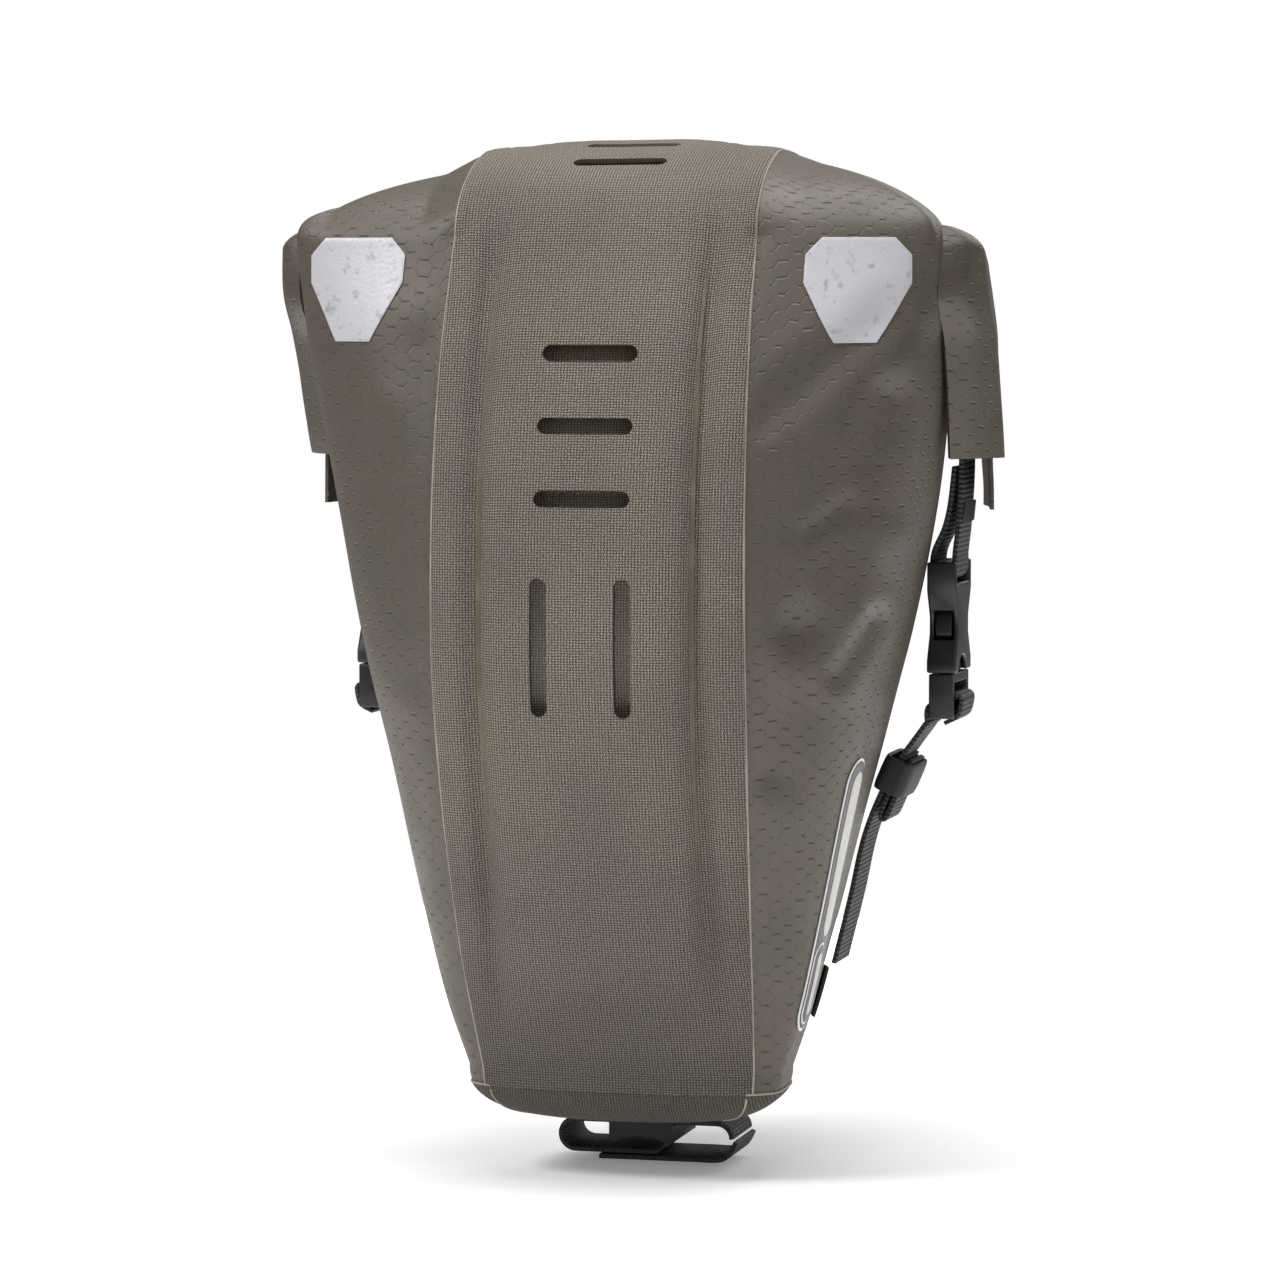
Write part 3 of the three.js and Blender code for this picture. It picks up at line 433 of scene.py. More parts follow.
def coatedRipstop(name, base=ripstopLook["base"]):
    # Ripstop nylon with a honeycomb grid under a polyurethane coating: fine pebbled sheen and broken
    # hexagon ridges
    material, tree, shader = newMaterial(name)
    place = addNode(tree, "TexCoord", {}, {})
    cell = ripstopLook["cell"]
    cells = addNode(tree, "Mapping", {},
        {0: place.outputs["UV"], 2: (0, 0, math.radians(90)), 3: (1 / cell, 1 / cell, 1)})
    wobble = addNode(tree, "TexNoise", {"noise_dimensions": "2D"},
        {"Vector": cells.outputs[0], "Scale": 0.8, "Detail": 2})
    shift = addNode(tree, "VectorMath", {"operation": "SUBTRACT"},
        {0: wobble.outputs["Color"], 1: (0.5, 0.5, 0.5)})
    moved = addNode(tree, "VectorMath", {"operation": "MULTIPLY_ADD"},
        {0: shift.outputs[0], 1: (0.22, 0.22, 0), 2: cells.outputs[0]})
    halfCell = (0.5, math.sqrt(3) / 2, 1)
    first = addNode(tree, "VectorMath", {"operation": "WRAP"},
        {0: moved.outputs[0], 1: halfCell, 2: [-v for v in halfCell]})
    offset = addNode(tree, "VectorMath", {"operation": "SUBTRACT"}, {0: moved.outputs[0], 1: halfCell})
    second = addNode(tree, "VectorMath", {"operation": "WRAP"},
        {0: offset.outputs[0], 1: halfCell, 2: [-v for v in halfCell]})
    flatten = {1: (1, 1, 0)}
    firstFlat = addNode(tree, "VectorMath", {"operation": "MULTIPLY"}, {0: first.outputs[0], **flatten})
    secondFlat = addNode(tree, "VectorMath", {"operation": "MULTIPLY"}, {0: second.outputs[0], **flatten})
    firstFar = addNode(tree, "VectorMath", {"operation": "LENGTH"}, {0: firstFlat.outputs[0]})
    secondFar = addNode(tree, "VectorMath", {"operation": "LENGTH"}, {0: secondFlat.outputs[0]})
    nearer = addNode(tree, "Math", {"operation": "LESS_THAN"},
        {0: secondFar.outputs[1], 1: firstFar.outputs[1]})
    inCell = addNode(tree, "Mix", {"data_type": "VECTOR"},
        {0: nearer.outputs[0], 4: firstFlat.outputs[0], 5: secondFlat.outputs[0]})
    folded = addNode(tree, "VectorMath", {"operation": "ABSOLUTE"}, {0: inCell.outputs[1]})
    slant = addNode(tree, "VectorMath", {"operation": "DOT_PRODUCT"},
        {0: folded.outputs[0], 1: (0.5, math.sqrt(3) / 2, 0)})
    level = addNode(tree, "SeparateXYZ", {}, {0: folded.outputs[0]})
    reach = addNode(tree, "Math", {"operation": "MAXIMUM"}, {0: slant.outputs[1], 1: level.outputs[0]})
    ridge = addNode(tree, "MapRange", {"interpolation_type": "SMOOTHSTEP"},
        {0: reach.outputs[0], 1: 0.5 - 2 * ripstopLook["ridge"], 2: 0.5 - 0.4 * ripstopLook["ridge"]})
    broken = addNode(tree, "TexNoise", {"noise_dimensions": "2D"},
        {"Vector": cells.outputs[0], "Scale": 1.9, "Detail": 1})
    kept = addNode(tree, "MapRange", {}, {0: broken.outputs["Fac"], 1: 0.4, 2: 0.56})
    flat = addNode(tree, "Math", {"operation": "GREATER_THAN"}, {0: level.outputs[0], 1: slant.outputs[1]})
    weight = addNode(tree, "MapRange", {}, {0: flat.outputs[0], 3: 0.3, 4: 1.0})
    strong = addNode(tree, "Math", {"operation": "MULTIPLY"}, {0: ridge.outputs[0], 1: weight.outputs[0]})
    line = addNode(tree, "Math", {"operation": "MULTIPLY"}, {0: strong.outputs[0], 1: kept.outputs[0]})
    mottle = addNode(tree, "TexNoise", {}, {"Vector": place.outputs["Object"], "Scale": 70, "Detail": 4})
    spread = addNode(tree, "MapRange", {}, {0: mottle.outputs["Fac"], 1: 0.36, 2: 0.64})
    tints = addNode(tree, "Mix", {"data_type": "RGBA"},
        {0: spread.outputs[0], 6: linear(ripstopLook["warm"]), 7: linear(ripstopLook["cool"])})
    body = addNode(tree, "Mix", {"data_type": "RGBA"}, {0: 0.6, 6: linear(base), 7: tints.outputs[2]})
    grooved = addNode(tree, "Math", {"operation": "MULTIPLY"}, {0: line.outputs[0], 1: 0.8})
    colour = addNode(tree, "Mix", {"data_type": "RGBA"},
        {0: grooved.outputs[0], 6: body.outputs[2], 7: linear(ripstopLook["line"])})
    tree.links.new(colour.outputs[2], shader.inputs["Base Color"])
    grain = addNode(tree, "TexNoise", {}, {"Vector": place.outputs["Object"], "Scale": 900, "Detail": 2})
    fine = addNode(tree, "Math", {"operation": "MULTIPLY_ADD"},
        {0: grain.outputs["Fac"], 1: 0.16, 2: line.outputs[0]})
    bump = addNode(tree, "Bump", {"invert": True},
        {"Strength": ripstopLook["bump"], "Distance": 0.0005, "Height": fine.outputs[0]})
    tree.links.new(bump.outputs[0], shader.inputs["Normal"])
    rough = addNode(tree, "MapRange", {},
        {0: mottle.outputs["Fac"], 3: ripstopLook["roughness"] - 0.06, 4: ripstopLook["roughness"] + 0.1})
    tree.links.new(rough.outputs[0], shader.inputs["Roughness"])
    shader.inputs["IOR"].default_value = 1.5
    return material


ribLook = {"rib": 1.5, "dark": "#141416", "light": "#4a4a4d"}


def ribbedWebbing(name, dark=ribLook["dark"], light=ribLook["light"], rib=ribLook["rib"]):
    # Nylon webbing: ribs across the strap, a herringbone grain, softly shining high threads
    material, tree, shader = newMaterial(name)
    place = addNode(tree, "TexCoord", {}, {})
    ribs = addNode(tree, "Mapping", {}, {0: place.outputs["UV"], 3: (1 / rib, 1 / rib, 1)})
    wave = addNode(tree, "TexWave", {"bands_direction": "Y"},
        {"Vector": ribs.outputs[0], "Scale": math.pi / 10, "Distortion": 0.5})
    cross = addNode(tree, "TexWave", {"bands_direction": "DIAGONAL"},
        {"Vector": ribs.outputs[0], "Scale": math.pi / 4})
    both = addNode(tree, "Math", {"operation": "MULTIPLY_ADD"},
        {0: cross.outputs["Fac"], 1: 0.3, 2: wave.outputs["Fac"]})
    fleck = addNode(tree, "TexNoise", {}, {"Vector": place.outputs["Object"], "Scale": 500, "Detail": 2})
    tone = addNode(tree, "Math", {"operation": "MULTIPLY", "use_clamp": True},
        {0: both.outputs[0], 1: fleck.outputs["Fac"]})
    colour = addNode(tree, "Mix", {"data_type": "RGBA"},
        {0: tone.outputs[0], 6: linear(dark), 7: linear(light)})
    tree.links.new(colour.outputs[2], shader.inputs["Base Color"])
    rough = addNode(tree, "MapRange", {}, {0: tone.outputs[0], 3: 0.8, 4: 0.5})
    tree.links.new(rough.outputs[0], shader.inputs["Roughness"])
    bump = addNode(tree, "Bump", {}, {"Strength": 0.7, "Distance": 0.0004, "Height": both.outputs[0]})
    tree.links.new(bump.outputs[0], shader.inputs["Normal"])
    return material


def mouldedPlastic(name, colour, worn, roughness, grain=1400):
    # Injection-moulded part: fine spark-eroded grain, rubbed a little lighter in patches
    material, tree, shader = newMaterial(name)
    place = addNode(tree, "TexCoord", {}, {})
    rub = addNode(tree, "TexNoise", {}, {"Vector": place.outputs["Object"], "Scale": 90, "Detail": 4})
    share = addNode(tree, "MapRange", {}, {0: rub.outputs["Fac"], 1: 0.42, 2: 0.75})
    tint = addNode(tree, "Mix", {"data_type": "RGBA"},
        {0: share.outputs[0], 6: linear(colour), 7: linear(worn)})
    tree.links.new(tint.outputs[2], shader.inputs["Base Color"])
    fine = addNode(tree, "TexNoise", {}, {"Vector": place.outputs["Object"], "Scale": grain, "Detail": 2})
    rough = addNode(tree, "MapRange", {}, {0: rub.outputs["Fac"], 3: roughness - 0.05, 4: roughness + 0.12})
    tree.links.new(rough.outputs[0], shader.inputs["Roughness"])
    bump = addNode(tree, "Bump", {}, {"Strength": 0.25, "Distance": 0.0002, "Height": fine.outputs["Fac"]})
    tree.links.new(bump.outputs[0], shader.inputs["Normal"])
    shader.inputs["IOR"].default_value = 1.48
    return material


def bareMetal(name, colour, roughness, stretch):
    # Machined or drawn metal: hairlines along one way and a slow cloud of handling marks
    material, tree, shader = newMaterial(name)
    place = addNode(tree, "TexCoord", {}, {})
    lines = addNode(tree, "Mapping", {}, {0: place.outputs["Object"], 3: stretch})
    hair = addNode(tree, "TexNoise", {}, {"Vector": lines.outputs[0], "Scale": 400, "Detail": 3})
    cloud = addNode(tree, "TexNoise", {}, {"Vector": place.outputs["Object"], "Scale": 60, "Detail": 3})
    dull = addNode(tree, "MapRange", {}, {0: cloud.outputs["Fac"], 3: 0.82, 4: 1.0})
    tint = addNode(tree, "Mix", {"data_type": "RGBA", "blend_type": "MULTIPLY"},
        {0: 1.0, 6: linear(colour), 7: dull.outputs[0]})
    tree.links.new(tint.outputs[2], shader.inputs["Base Color"])
    rough = addNode(tree, "MapRange", {}, {0: hair.outputs["Fac"], 3: roughness - 0.08, 4: roughness + 0.12})
    tree.links.new(rough.outputs[0], shader.inputs["Roughness"])
    bump = addNode(tree, "Bump", {}, {"Strength": 0.12, "Distance": 0.0001, "Height": hair.outputs["Fac"]})
    tree.links.new(bump.outputs[0], shader.inputs["Normal"])
    shader.inputs["Metallic"].default_value = 1.0
    return material


def reflectiveFilm(name):
    # Glass-bead film welded on the shoulders: pale grey with a fine sparkle and small honeycomb seals
    material, tree, shader = newMaterial(name)
    place = addNode(tree, "TexCoord", {}, {})
    beads = addNode(tree, "TexVoronoi", {}, {"Vector": place.outputs["Object"], "Scale": 900})
    seals = addNode(tree, "TexVoronoi", {"feature": "DISTANCE_TO_EDGE"},
        {"Vector": place.outputs["Object"], "Scale": 260, "Randomness": 0.35})
    rim = addNode(tree, "MapRange", {}, {0: seals.outputs["Distance"], 1: 0.0, 2: 0.09})
    fleck = addNode(tree, "TexNoise", {}, {"Vector": place.outputs["Object"], "Scale": 320, "Detail": 4})
    speck = addNode(tree, "MapRange", {}, {0: fleck.outputs["Fac"], 1: 0.3, 2: 0.44})
    shade = addNode(tree, "Math", {"operation": "MULTIPLY_ADD"},
        {0: rim.outputs[0], 1: 0.22, 2: speck.outputs[0]})
    colour = addNode(tree, "Mix", {"data_type": "RGBA"},
        {0: shade.outputs[0], 6: linear("#96989a"), 7: linear("#bab9bf")})
    tree.links.new(colour.outputs[2], shader.inputs["Base Color"])
    rough = addNode(tree, "MapRange", {}, {0: beads.outputs["Distance"], 3: 0.28, 4: 0.55})
    tree.links.new(rough.outputs[0], shader.inputs["Roughness"])
    bump = addNode(tree, "Bump", {},
        {"Strength": 0.3, "Distance": 0.0002, "Height": beads.outputs["Distance"]})
    tree.links.new(bump.outputs[0], shader.inputs["Normal"])
    return material


weaveStrip = wovenPolyester("coatedPolyesterWeave", weaveLook["low"], weaveLook["middle"], weaveLook["high"])
# Painted shade: the foot patch takes the strip's weave in darker tones, standing in for the shade on the
# downward-facing foot
weaveFootShaded = wovenPolyester("coatedPolyesterWeaveFootShaded", "#282219", "#5d5549", "#8a8074")
# Painted light: the liner seen through the slots takes the weave in much lighter tones, to brighten it
# against the shade it sits in
weaveInnerLit = wovenPolyester("coatedPolyesterWeaveInnerLit", "#676052", "#a59c8d", "#cbc3b5")
ripstopSide = coatedRipstop("honeycombRipstop")
# Painted shade: the roll ends and the rolled mouth take the side panels' ripstop with a darker base, standing
# in for the shade on the folded cloth
ripstopFoldShaded = coatedRipstop("honeycombRipstopFoldedShaded", base="#453f36")
pipingCoat = mouldedPlastic("weldedSeamTape", "#8b8376", "#a39b8e", 0.55)
plateBrown = mouldedPlastic("stiffenerSheet", "#57503f", "#6b6453", 0.6, grain=700)
webbingBlack = ribbedWebbing("ribbedNylonWebbing")
webbingHook = ribbedWebbing("hookLoopWebbing", "#131314", "#38383b", 0.9)
threadBlack = ribbedWebbing("bondedThread", "#1f1f21", "#626266", 0.5)
acetalBlack = mouldedPlastic("mouldedAcetal", "#1c1c1f", "#2e2e32", 0.36)
rubberBlack = mouldedPlastic("mouldedElastomer", "#19191b", "#2a2a2d", 0.62, grain=900)
nylonBlack = mouldedPlastic("glassFilledNylon", "#232326", "#38383c", 0.5, grain=1100)
reflectorFilm = reflectiveFilm("glassBeadFilm")
labelDark = mouldedPlastic("printedLabelBand", "#232427", "#34363a", 0.35)
labelLight = mouldedPlastic("printedLabelPlain", "#b9b8b4", "#cfcec9", 0.4)
labelRim = mouldedPlastic("printedLabelRim", "#e3e3e0", "#f2f2ef", 0.4)
steelBright = bareMetal("stainlessSteel", "#b9bbbe", 0.3, (1, 0.1, 1))
aluminiumGrey = bareMetal("anodisedAluminium", "#8f9194", 0.42, (0.08, 1, 1))
print("materials made")


# Slotted centre strip
stripWork = {
    "columns": 84, "rows": 320, "wall": 1.6, "liftOff": 0.7,
    "pivotY": -20, "pivotZ": 236, "frontTilt": 158,
    "valleyAt": 34, "valleyDeep": 3.1, "valleyWide": 3.6, "valleyTop": 0.84,
    "valleyCorner": 16, "crownFade": 0.88, "swell": 1.8, "soften": (256, 284, 40),
    "slot": (29, 5), "levelSlots": [192.7, 214, 235.3],
    "uprightSlot": 41, "uprightX": 12.75, "uprightZ": 149,
    "crownSlots": [(-35, 38), (-14.5, 20), (6.5, 2)],
}


def stripRoute():
    # Straight in from behind up to the pivot, then fanned over the crown to the mouth
    rays = []
    for step in range(300):
        z = footSeam + step / 299 * (stripWork["pivotZ"] - footSeam)
        rays.append((z, 0.0))
    for step in range(1, 240):
        rays.append((stripWork["pivotZ"], math.radians(stripWork["frontTilt"]) * step / 239))
    lengths = [0.0]
    spots = []
    for z, turn in rays:
        spot, _ = hit((0, stripWork["pivotY"], z), (0, -math.cos(turn), math.sin(turn)))
        if spots:
            lengths.append(lengths[-1] + (spot - spots[-1]).length)
        spots.append(spot)
    return rays, [length / lengths[-1] for length in lengths], spots, lengths[-1]


stripRays, stripShares, stripSpots, stripLength = stripRoute()


def rayAt(share):
    low, high = 0, len(stripShares) - 1
    while high - low > 1:
        middle = (low + high) // 2
        if stripShares[middle] <= share:
            low = middle
        else:
            high = middle
    span = stripShares[high] - stripShares[low]
    part = clamp((share - stripShares[low]) / span)
    z = stripRays[low][0] + (stripRays[high][0] - stripRays[low][0]) * part
    turn = stripRays[low][1] + (stripRays[high][1] - stripRays[low][1]) * part
    spot = stripSpots[low].lerp(stripSpots[high], part)
    return z, turn, spot


def relief(x, share):
    # A soft valley down each side of the strip's middle, joined over the crown, and a fine pressed line
    # beside it
    half = stripWork["valleyAt"]
    ends = (stripWork["valleyTop"] - share) * stripLength
    corner = stripWork["valleyCorner"]
    across = half - abs(x)
    if across < corner and ends < corner:
        inside = corner - math.hypot(corner - across, corner - ends)
    else:
        inside = min(across, ends + 4)
    fade = ease(share, 0.02, 0.16)
    crown = 1 - stripWork["crownFade"] * ease(share, 0.62, 0.7)
    valley = -stripWork["valleyDeep"] * math.exp(-((inside / stripWork["valleyWide"]) ** 2)) * crown
    line = -0.3 * math.exp(-(((inside - 5.5) / 0.7) ** 2)) - 0.25 * math.exp(-(((inside + 5.0) / 0.6) ** 2))
    swell = stripWork["swell"] * ease(inside, 0, 13) * crown
    return (valley + line * ease(share, 0.55, 0.66) + swell) * fade


def stripPoint(s, share, lift, margin=0.0, emboss=True):
    z, turn, spot = rayAt(share)
    x = (2 * s - 1) * (seamHalf(spot.z) - margin)
    place, normal = hit((x, stripWork["pivotY"], z), (0, -math.cos(turn), math.sin(turn)))
    rise = lift
    if emboss:
        rise += relief(x, share)
        rise -= 0.3 * ease(abs(x), seamHalf(spot.z) - 2.0, seamHalf(spot.z))
        rise += 0.35 * noise.noise(Vector((x / 26, share * 9, 3.1)))
    return place + normal * rise


def roundBar(name, length, width, depth):
    # A bar with round ends along x, pushed through along y
    bpy.ops.object.select_all(action="DESELECT")
    bpy.ops.mesh.primitive_cylinder_add(vertices=32, radius=width / 2, depth=depth,
        rotation=(math.pi / 2, 0, 0))
    bar = bpy.context.object
    bar.name = name
    bpy.ops.object.transform_apply(location=True, rotation=True, scale=True)
    for vertex in bar.data.vertices:
        vertex.co.x += math.copysign((length - width) / 2, vertex.co.x) if abs(vertex.co.x) > 1e-4 else 0
    return bar


def slotCutters(margin):
    length, width = [v + 2 * margin for v in stripWork["slot"]]
    cutters = []

    def cutter(size, turn, place):
        bar = roundBar("slotCutter", size, width, 60)
        bar.data.transform(Matrix.Translation(place) @ turn)
        cutters.append(bar)

    for z in stripWork["levelSlots"]:
        cutter(length, Matrix.Identity(4), Vector((0, -70, z)))
    for x in (-stripWork["uprightX"], stripWork["uprightX"]):
        cutter(stripWork["uprightSlot"] + 2 * margin, Matrix.Rotation(math.pi / 2, 4, "Y"),
            Vector((x, -70, stripWork["uprightZ"])))
    for y, tilt in stripWork["crownSlots"]:
        turn = Matrix.Rotation(math.radians(tilt), 4, "X") @ Matrix.Rotation(math.pi / 2, 4, "X")
        cutter(length, turn, Vector((0, y, bagShape["height"] - 4)))
    pickOnly(cutters[0])
    for bar in cutters:
        bar.select_set(True)
    bpy.ops.object.join()
    return bpy.context.object


def cutSlots(piece, margin):
    cutter = slotCutters(margin)
    withModifier(piece, "BOOLEAN", operation="DIFFERENCE", solver="EXACT", object=cutter)
    bpy.data.objects.remove(cutter, do_unlink=True)
    return piece


plateWork = {"lift": -1.3, "margin": 14, "wall": 1.6}
linerWork = {"lift": -3.4, "margin": 6, "wall": 1.1}


def makeStrip():
    columns, rows, lift = stripWork["columns"], stripWork["rows"], stripWork["liftOff"]
    strip = gridPiece("slottedStrip", columns, rows, lambda s, t: stripPoint(s, t, lift),
        soften=stripWork["soften"])
    thicken(strip, stripWork["wall"])
    cutSlots(strip, 0)
    withModifier(strip, "BEVEL", width=0.3, segments=2, limit_method="ANGLE", angle_limit=math.radians(55))
    settle(strip, weaveStrip, "weave", "bag", "rear_panel")

    def platePoint(s, t):
        return stripPoint(s, 0.09 + 0.82 * t, plateWork["lift"], plateWork["margin"], False)

    plate = gridPiece("stiffenerPlate", 40, 140, platePoint)
    thicken(plate, plateWork["wall"])
    cutSlots(plate, plateWork["wall"])
    settle(plate, plateBrown, "nylon", "bag", "rear_stiffener")

    def linerPoint(s, t):
        return stripPoint(s, 0.08 + 0.84 * t, linerWork["lift"], linerWork["margin"], False)

    liner = gridPiece("linerSheet", 30, 110, linerPoint)
    thicken(liner, linerWork["wall"])
    settle(liner, weaveInnerLit, "liner", "bag", "rear_liner")


makeStrip()
print("strip made")


# Side panels
panelWork = {
    "columns": 120, "rows": 190, "domeRows": 40, "wall": 1.2,
    "soften": (262, 281, 30), "shoulderDrop": {1: 1.6, -1: 4.6},
}


def seamAngle(station, half, power, rear):
    share = clamp(half / station["half"], 0, 1) ** (1 / power)
    angle = math.acos(share)
    return -angle if rear else angle


def sideOutline(z):
    # The section's points from the rear seam round to the front seam, evenly spaced
    station = stationAt(z)
    half = seamHalf(z)
    low = seamAngle(station, half, bagShape["rearPower"], True)
    high = seamAngle(station, half, station["frontPower"], False)
    points = [ringPoint(station, low + (high - low) * k / 239) for k in range(240)]
    lengths = [0.0]
    for a, b in zip(points, points[1:]):
        lengths.append(lengths[-1] + math.dist(a, b))
    even = []
    k = 0
    for i in range(panelWork["columns"] + 1):
        goal = lengths[-1] * i / panelWork["columns"]
        while k < len(lengths) - 2 and lengths[k + 1] < goal:
            k += 1
        part = clamp((goal - lengths[k]) / max(1e-9, lengths[k + 1] - lengths[k]))
        a, b = points[k], points[k + 1]
        even.append((a[0] + (b[0] - a[0]) * part, a[1] + (b[1] - a[1]) * part))
    return even


def sideTable():
    rows = []
    wallRows = panelWork["rows"]
    for j in range(wallRows + 1):
        z = footTop + (domeBase - footTop) * j / wallRows
        rows.append((z, sideOutline(z)))
    return rows


sideRows = sideTable()
footRows = 6


def sidePoint(s, t):
    total = footRows + panelWork["rows"] + panelWork["domeRows"]
    j = round(t * total)
    i = round(s * panelWork["columns"])
    if j < footRows:
        rise = (footTop - (footSeam + 0.3 + (footTop - footSeam - 0.3) * j / footRows)) / footTop
        shrink = (1 - rise ** bagShape["footPower"]) ** (1 / bagShape["footPower"])
        x, y = sideRows[0][1][i]
        centreY = bagShape["footCentreY"]
        return Vector((x * shrink, centreY + (y - centreY) * shrink, footTop * (1 - rise)))
    if j <= footRows + panelWork["rows"]:
        z, outline = sideRows[j - footRows]
        x, y = outline[i]
        return Vector((x, y, z))
    part = (j - footRows - panelWork["rows"]) / panelWork["domeRows"]
    x, y = sideRows[-1][1][i]
    turn = math.acos(clamp(seamHalf(domeBase) / x)) * part
    centreY = bagShape["domeCentreY"]
    top = bagShape["height"] - domeBase
    return Vector((x * math.cos(turn), centreY + (y - centreY) * math.cos(turn),
        domeBase + top * math.sin(turn)))


# Soft valleys across each side panel: from and to as (out from the middle, up), then deep and wide
sideFolds = {
    1: [((70, 246), (34, 216), 1.5, 6), ((70, 222), (46, 154), 2.0, 7), ((46, 154), (38, 112), 1.6, 7),
        ((68, 156), (56, 141), 1.3, 4), ((84, 238), (72, 190), 0.9, 6), ((60, 190), (44, 182), 0.8, 4)],
    -1: [((66, 236), (52, 150), 1.2, 8), ((80, 210), (66, 140), 1.0, 7), ((52, 150), (46, 90), 0.9, 7)],
}


def nearFold(place, start, end):
    line = Vector(end) - Vector(start)
    along = (place - Vector(start)).dot(line) / line.length_squared
    nearest = Vector(start) + line * clamp(along)
    over = max(0.0, -along, along - 1) * line.length
    return (place - nearest).length, over


def makeSide(side, sign):
    across, rows = panelWork["columns"], footRows + panelWork["rows"] + panelWork["domeRows"]
    panel = gridPiece("sidePanel" + side, across, rows, sidePoint, middle=False, soften=panelWork["soften"])
    # The cloth's millimetres: out from the rear seam, and up the wall and on over the dome along each column
    mesh = panel.data
    base = footRows + panelWork["rows"]
    flat = {}
    for index in range(len(mesh.vertices)):
        j, i = divmod(index, across + 1)
        if j <= base:
            before = flat.get(index - 1, (0, 0))[0]
            step = (mesh.vertices[index].co - mesh.vertices[index - 1].co).length if i else 0
            flat[index] = (before + step if i else 0.0, mesh.vertices[index].co.z)
        else:
            below = index - (across + 1)
            flat[index] = (flat[below][0],
                flat[below][1] + (mesh.vertices[index].co - mesh.vertices[below].co).length)
    for loop in mesh.loops:
        mesh.uv_layers[0].data[loop.index].uv = flat[loop.vertex_index]

    def sag(p):
        # Soft folds hang from the rolled mouth towards the foot, and the shoulder is drawn straight
        # to its corner
        seam = seamHalf(p.z)
        fromSeam = clamp((p.x - seam) / 10)
        fade = ease(p.z, 12, 40) * (1 - 0.85 * ease(p.z, 262, 276))
        place = Vector((0.97 * p.x + sign * 0.24 * p.y, p.z))
        folds = 0.0
        for start, end, deep, wide in sideFolds[sign]:
            away, over = nearFold(place, start, end)
            folds -= deep * math.exp(-((away / wide) ** 2)) * math.exp(-((over / 14) ** 2))
            folds += 0.35 * deep * math.exp(-(((away - 1.7 * wide) / wide) ** 2))
        if p.y > 0:
            folds *= 1 - ease(p.y, 0, 15)
        broad = noise.noise(Vector((p.y / 55, p.z / 70, 7.0 + 3 * sign)))
        small = noise.noise(Vector((p.y / 20 + p.x / 30, (p.z + p.y) / 34, 1.0 + sign)))
        top = ease(p.z, 268, 282) * clamp((p.x - seam) / 12) * clamp((101 - p.x) / 12)
        soft = fromSeam * (1.1 * broad + 0.3 * small) + clamp((p.x - seam) / 5) * folds
        return fade * soft - panelWork["shoulderDrop"][sign] * top

    drape(panel, sag)
    thicken(panel, panelWork["wall"])
    if sign < 0:
        panel.data.transform(Matrix.Scale(-1, 4, (1, 0, 0)))
        turnOut(panel)
    mesh = panel.data
    skins[sign] = BVHTree.FromPolygons([v.co.copy() for v in mesh.vertices],
        [tuple(f.vertices) for f in mesh.polygons])
    settle(panel, ripstopSide, "ripstop", "bag", "side_panel_" + side.lower())


skins = {}
for side, sign in sides:
    makeSide(side, sign)
print("side panels made")


# Front panel and foot patch
def makeFront():
    def frontPoint(s, t):
        z = footSeam + (seams["mouthLow"] - footSeam) * t
        x = (2 * s - 1) * seamHalf(z)
        return onto(x, 0, z, (0, -1, 0))

    panel = gridPiece("frontPanel", 70, 170, frontPoint)
    turnOut(panel)
    drape(panel, lambda p: 0.4 * noise.noise(Vector((p.x / 30, p.z / 40, 5))) * ease(p.z, 200, 240))
    thicken(panel, 1.2)
    settle(panel, ripstopSide, "ripstop", "bag", "front_panel")


def makeFoot():
    around, rings = 160, 26

    def footPoint(s, t):
        # From the pole out to the seam
        angle = -s * 2 * math.pi
        rise = 1 - (footSeam / footTop) * t
        height = footTop * (1 - rise)
        shrink = max(0.0, 1 - rise ** bagShape["footPower"]) ** (1 / bagShape["footPower"])
        x, y = ringPoint(stationAt(footTop), angle)
        centreY = bagShape["footCentreY"]
        return Vector((x * shrink, centreY + (y - centreY) * shrink, height))

    foot = gridPiece("footPatch", around, rings, footPoint)
    for loop in foot.data.loops:
        place = foot.data.vertices[loop.vertex_index].co
        foot.data.uv_layers[0].data[loop.index].uv = (place.x, place.z - place.y)
    pickOnly(foot)
    bpy.ops.object.mode_set(mode="EDIT")
    bpy.ops.mesh.select_all(action="SELECT")
    bpy.ops.mesh.remove_doubles(threshold=0.001)
    bpy.ops.mesh.normals_make_consistent(inside=False)
    bpy.ops.object.mode_set(mode="OBJECT")
    lowest = min(foot.data.polygons, key=lambda f: f.center.z)
    if lowest.normal.z > 0:
        turnOut(foot)
    drape(foot, lambda p: 0.5 * ease(p.z, 0.5, 4))
    thicken(foot, 1.6)
    settle(foot, weaveFootShaded, "weave", "bag", "base_panel")


makeFront()
makeFoot()
print("front and foot made")


# Cut edges and piping along the seams
def tubeAlong(name, points, radius):
    # A round bead along a route
    curve = bpy.data.curves.new(name, "CURVE")
    curve.dimensions = "3D"
    curve.bevel_depth = radius
    curve.bevel_resolution = 2
    curve.use_fill_caps = True
    spline = curve.splines.new("POLY")
    spline.points.add(len(points) - 1)
    for spot, point in zip(spline.points, points):
        spot.co = (*point, 1)
    tube = bpy.data.objects.new(name, curve)
    bpy.context.scene.collection.objects.link(tube)
    pickOnly(tube)
    bpy.ops.object.convert(target="MESH")
    return bpy.context.object


beadWork = {"strip": 0.42, "foot": 0.36, "footHalf": 39.6}


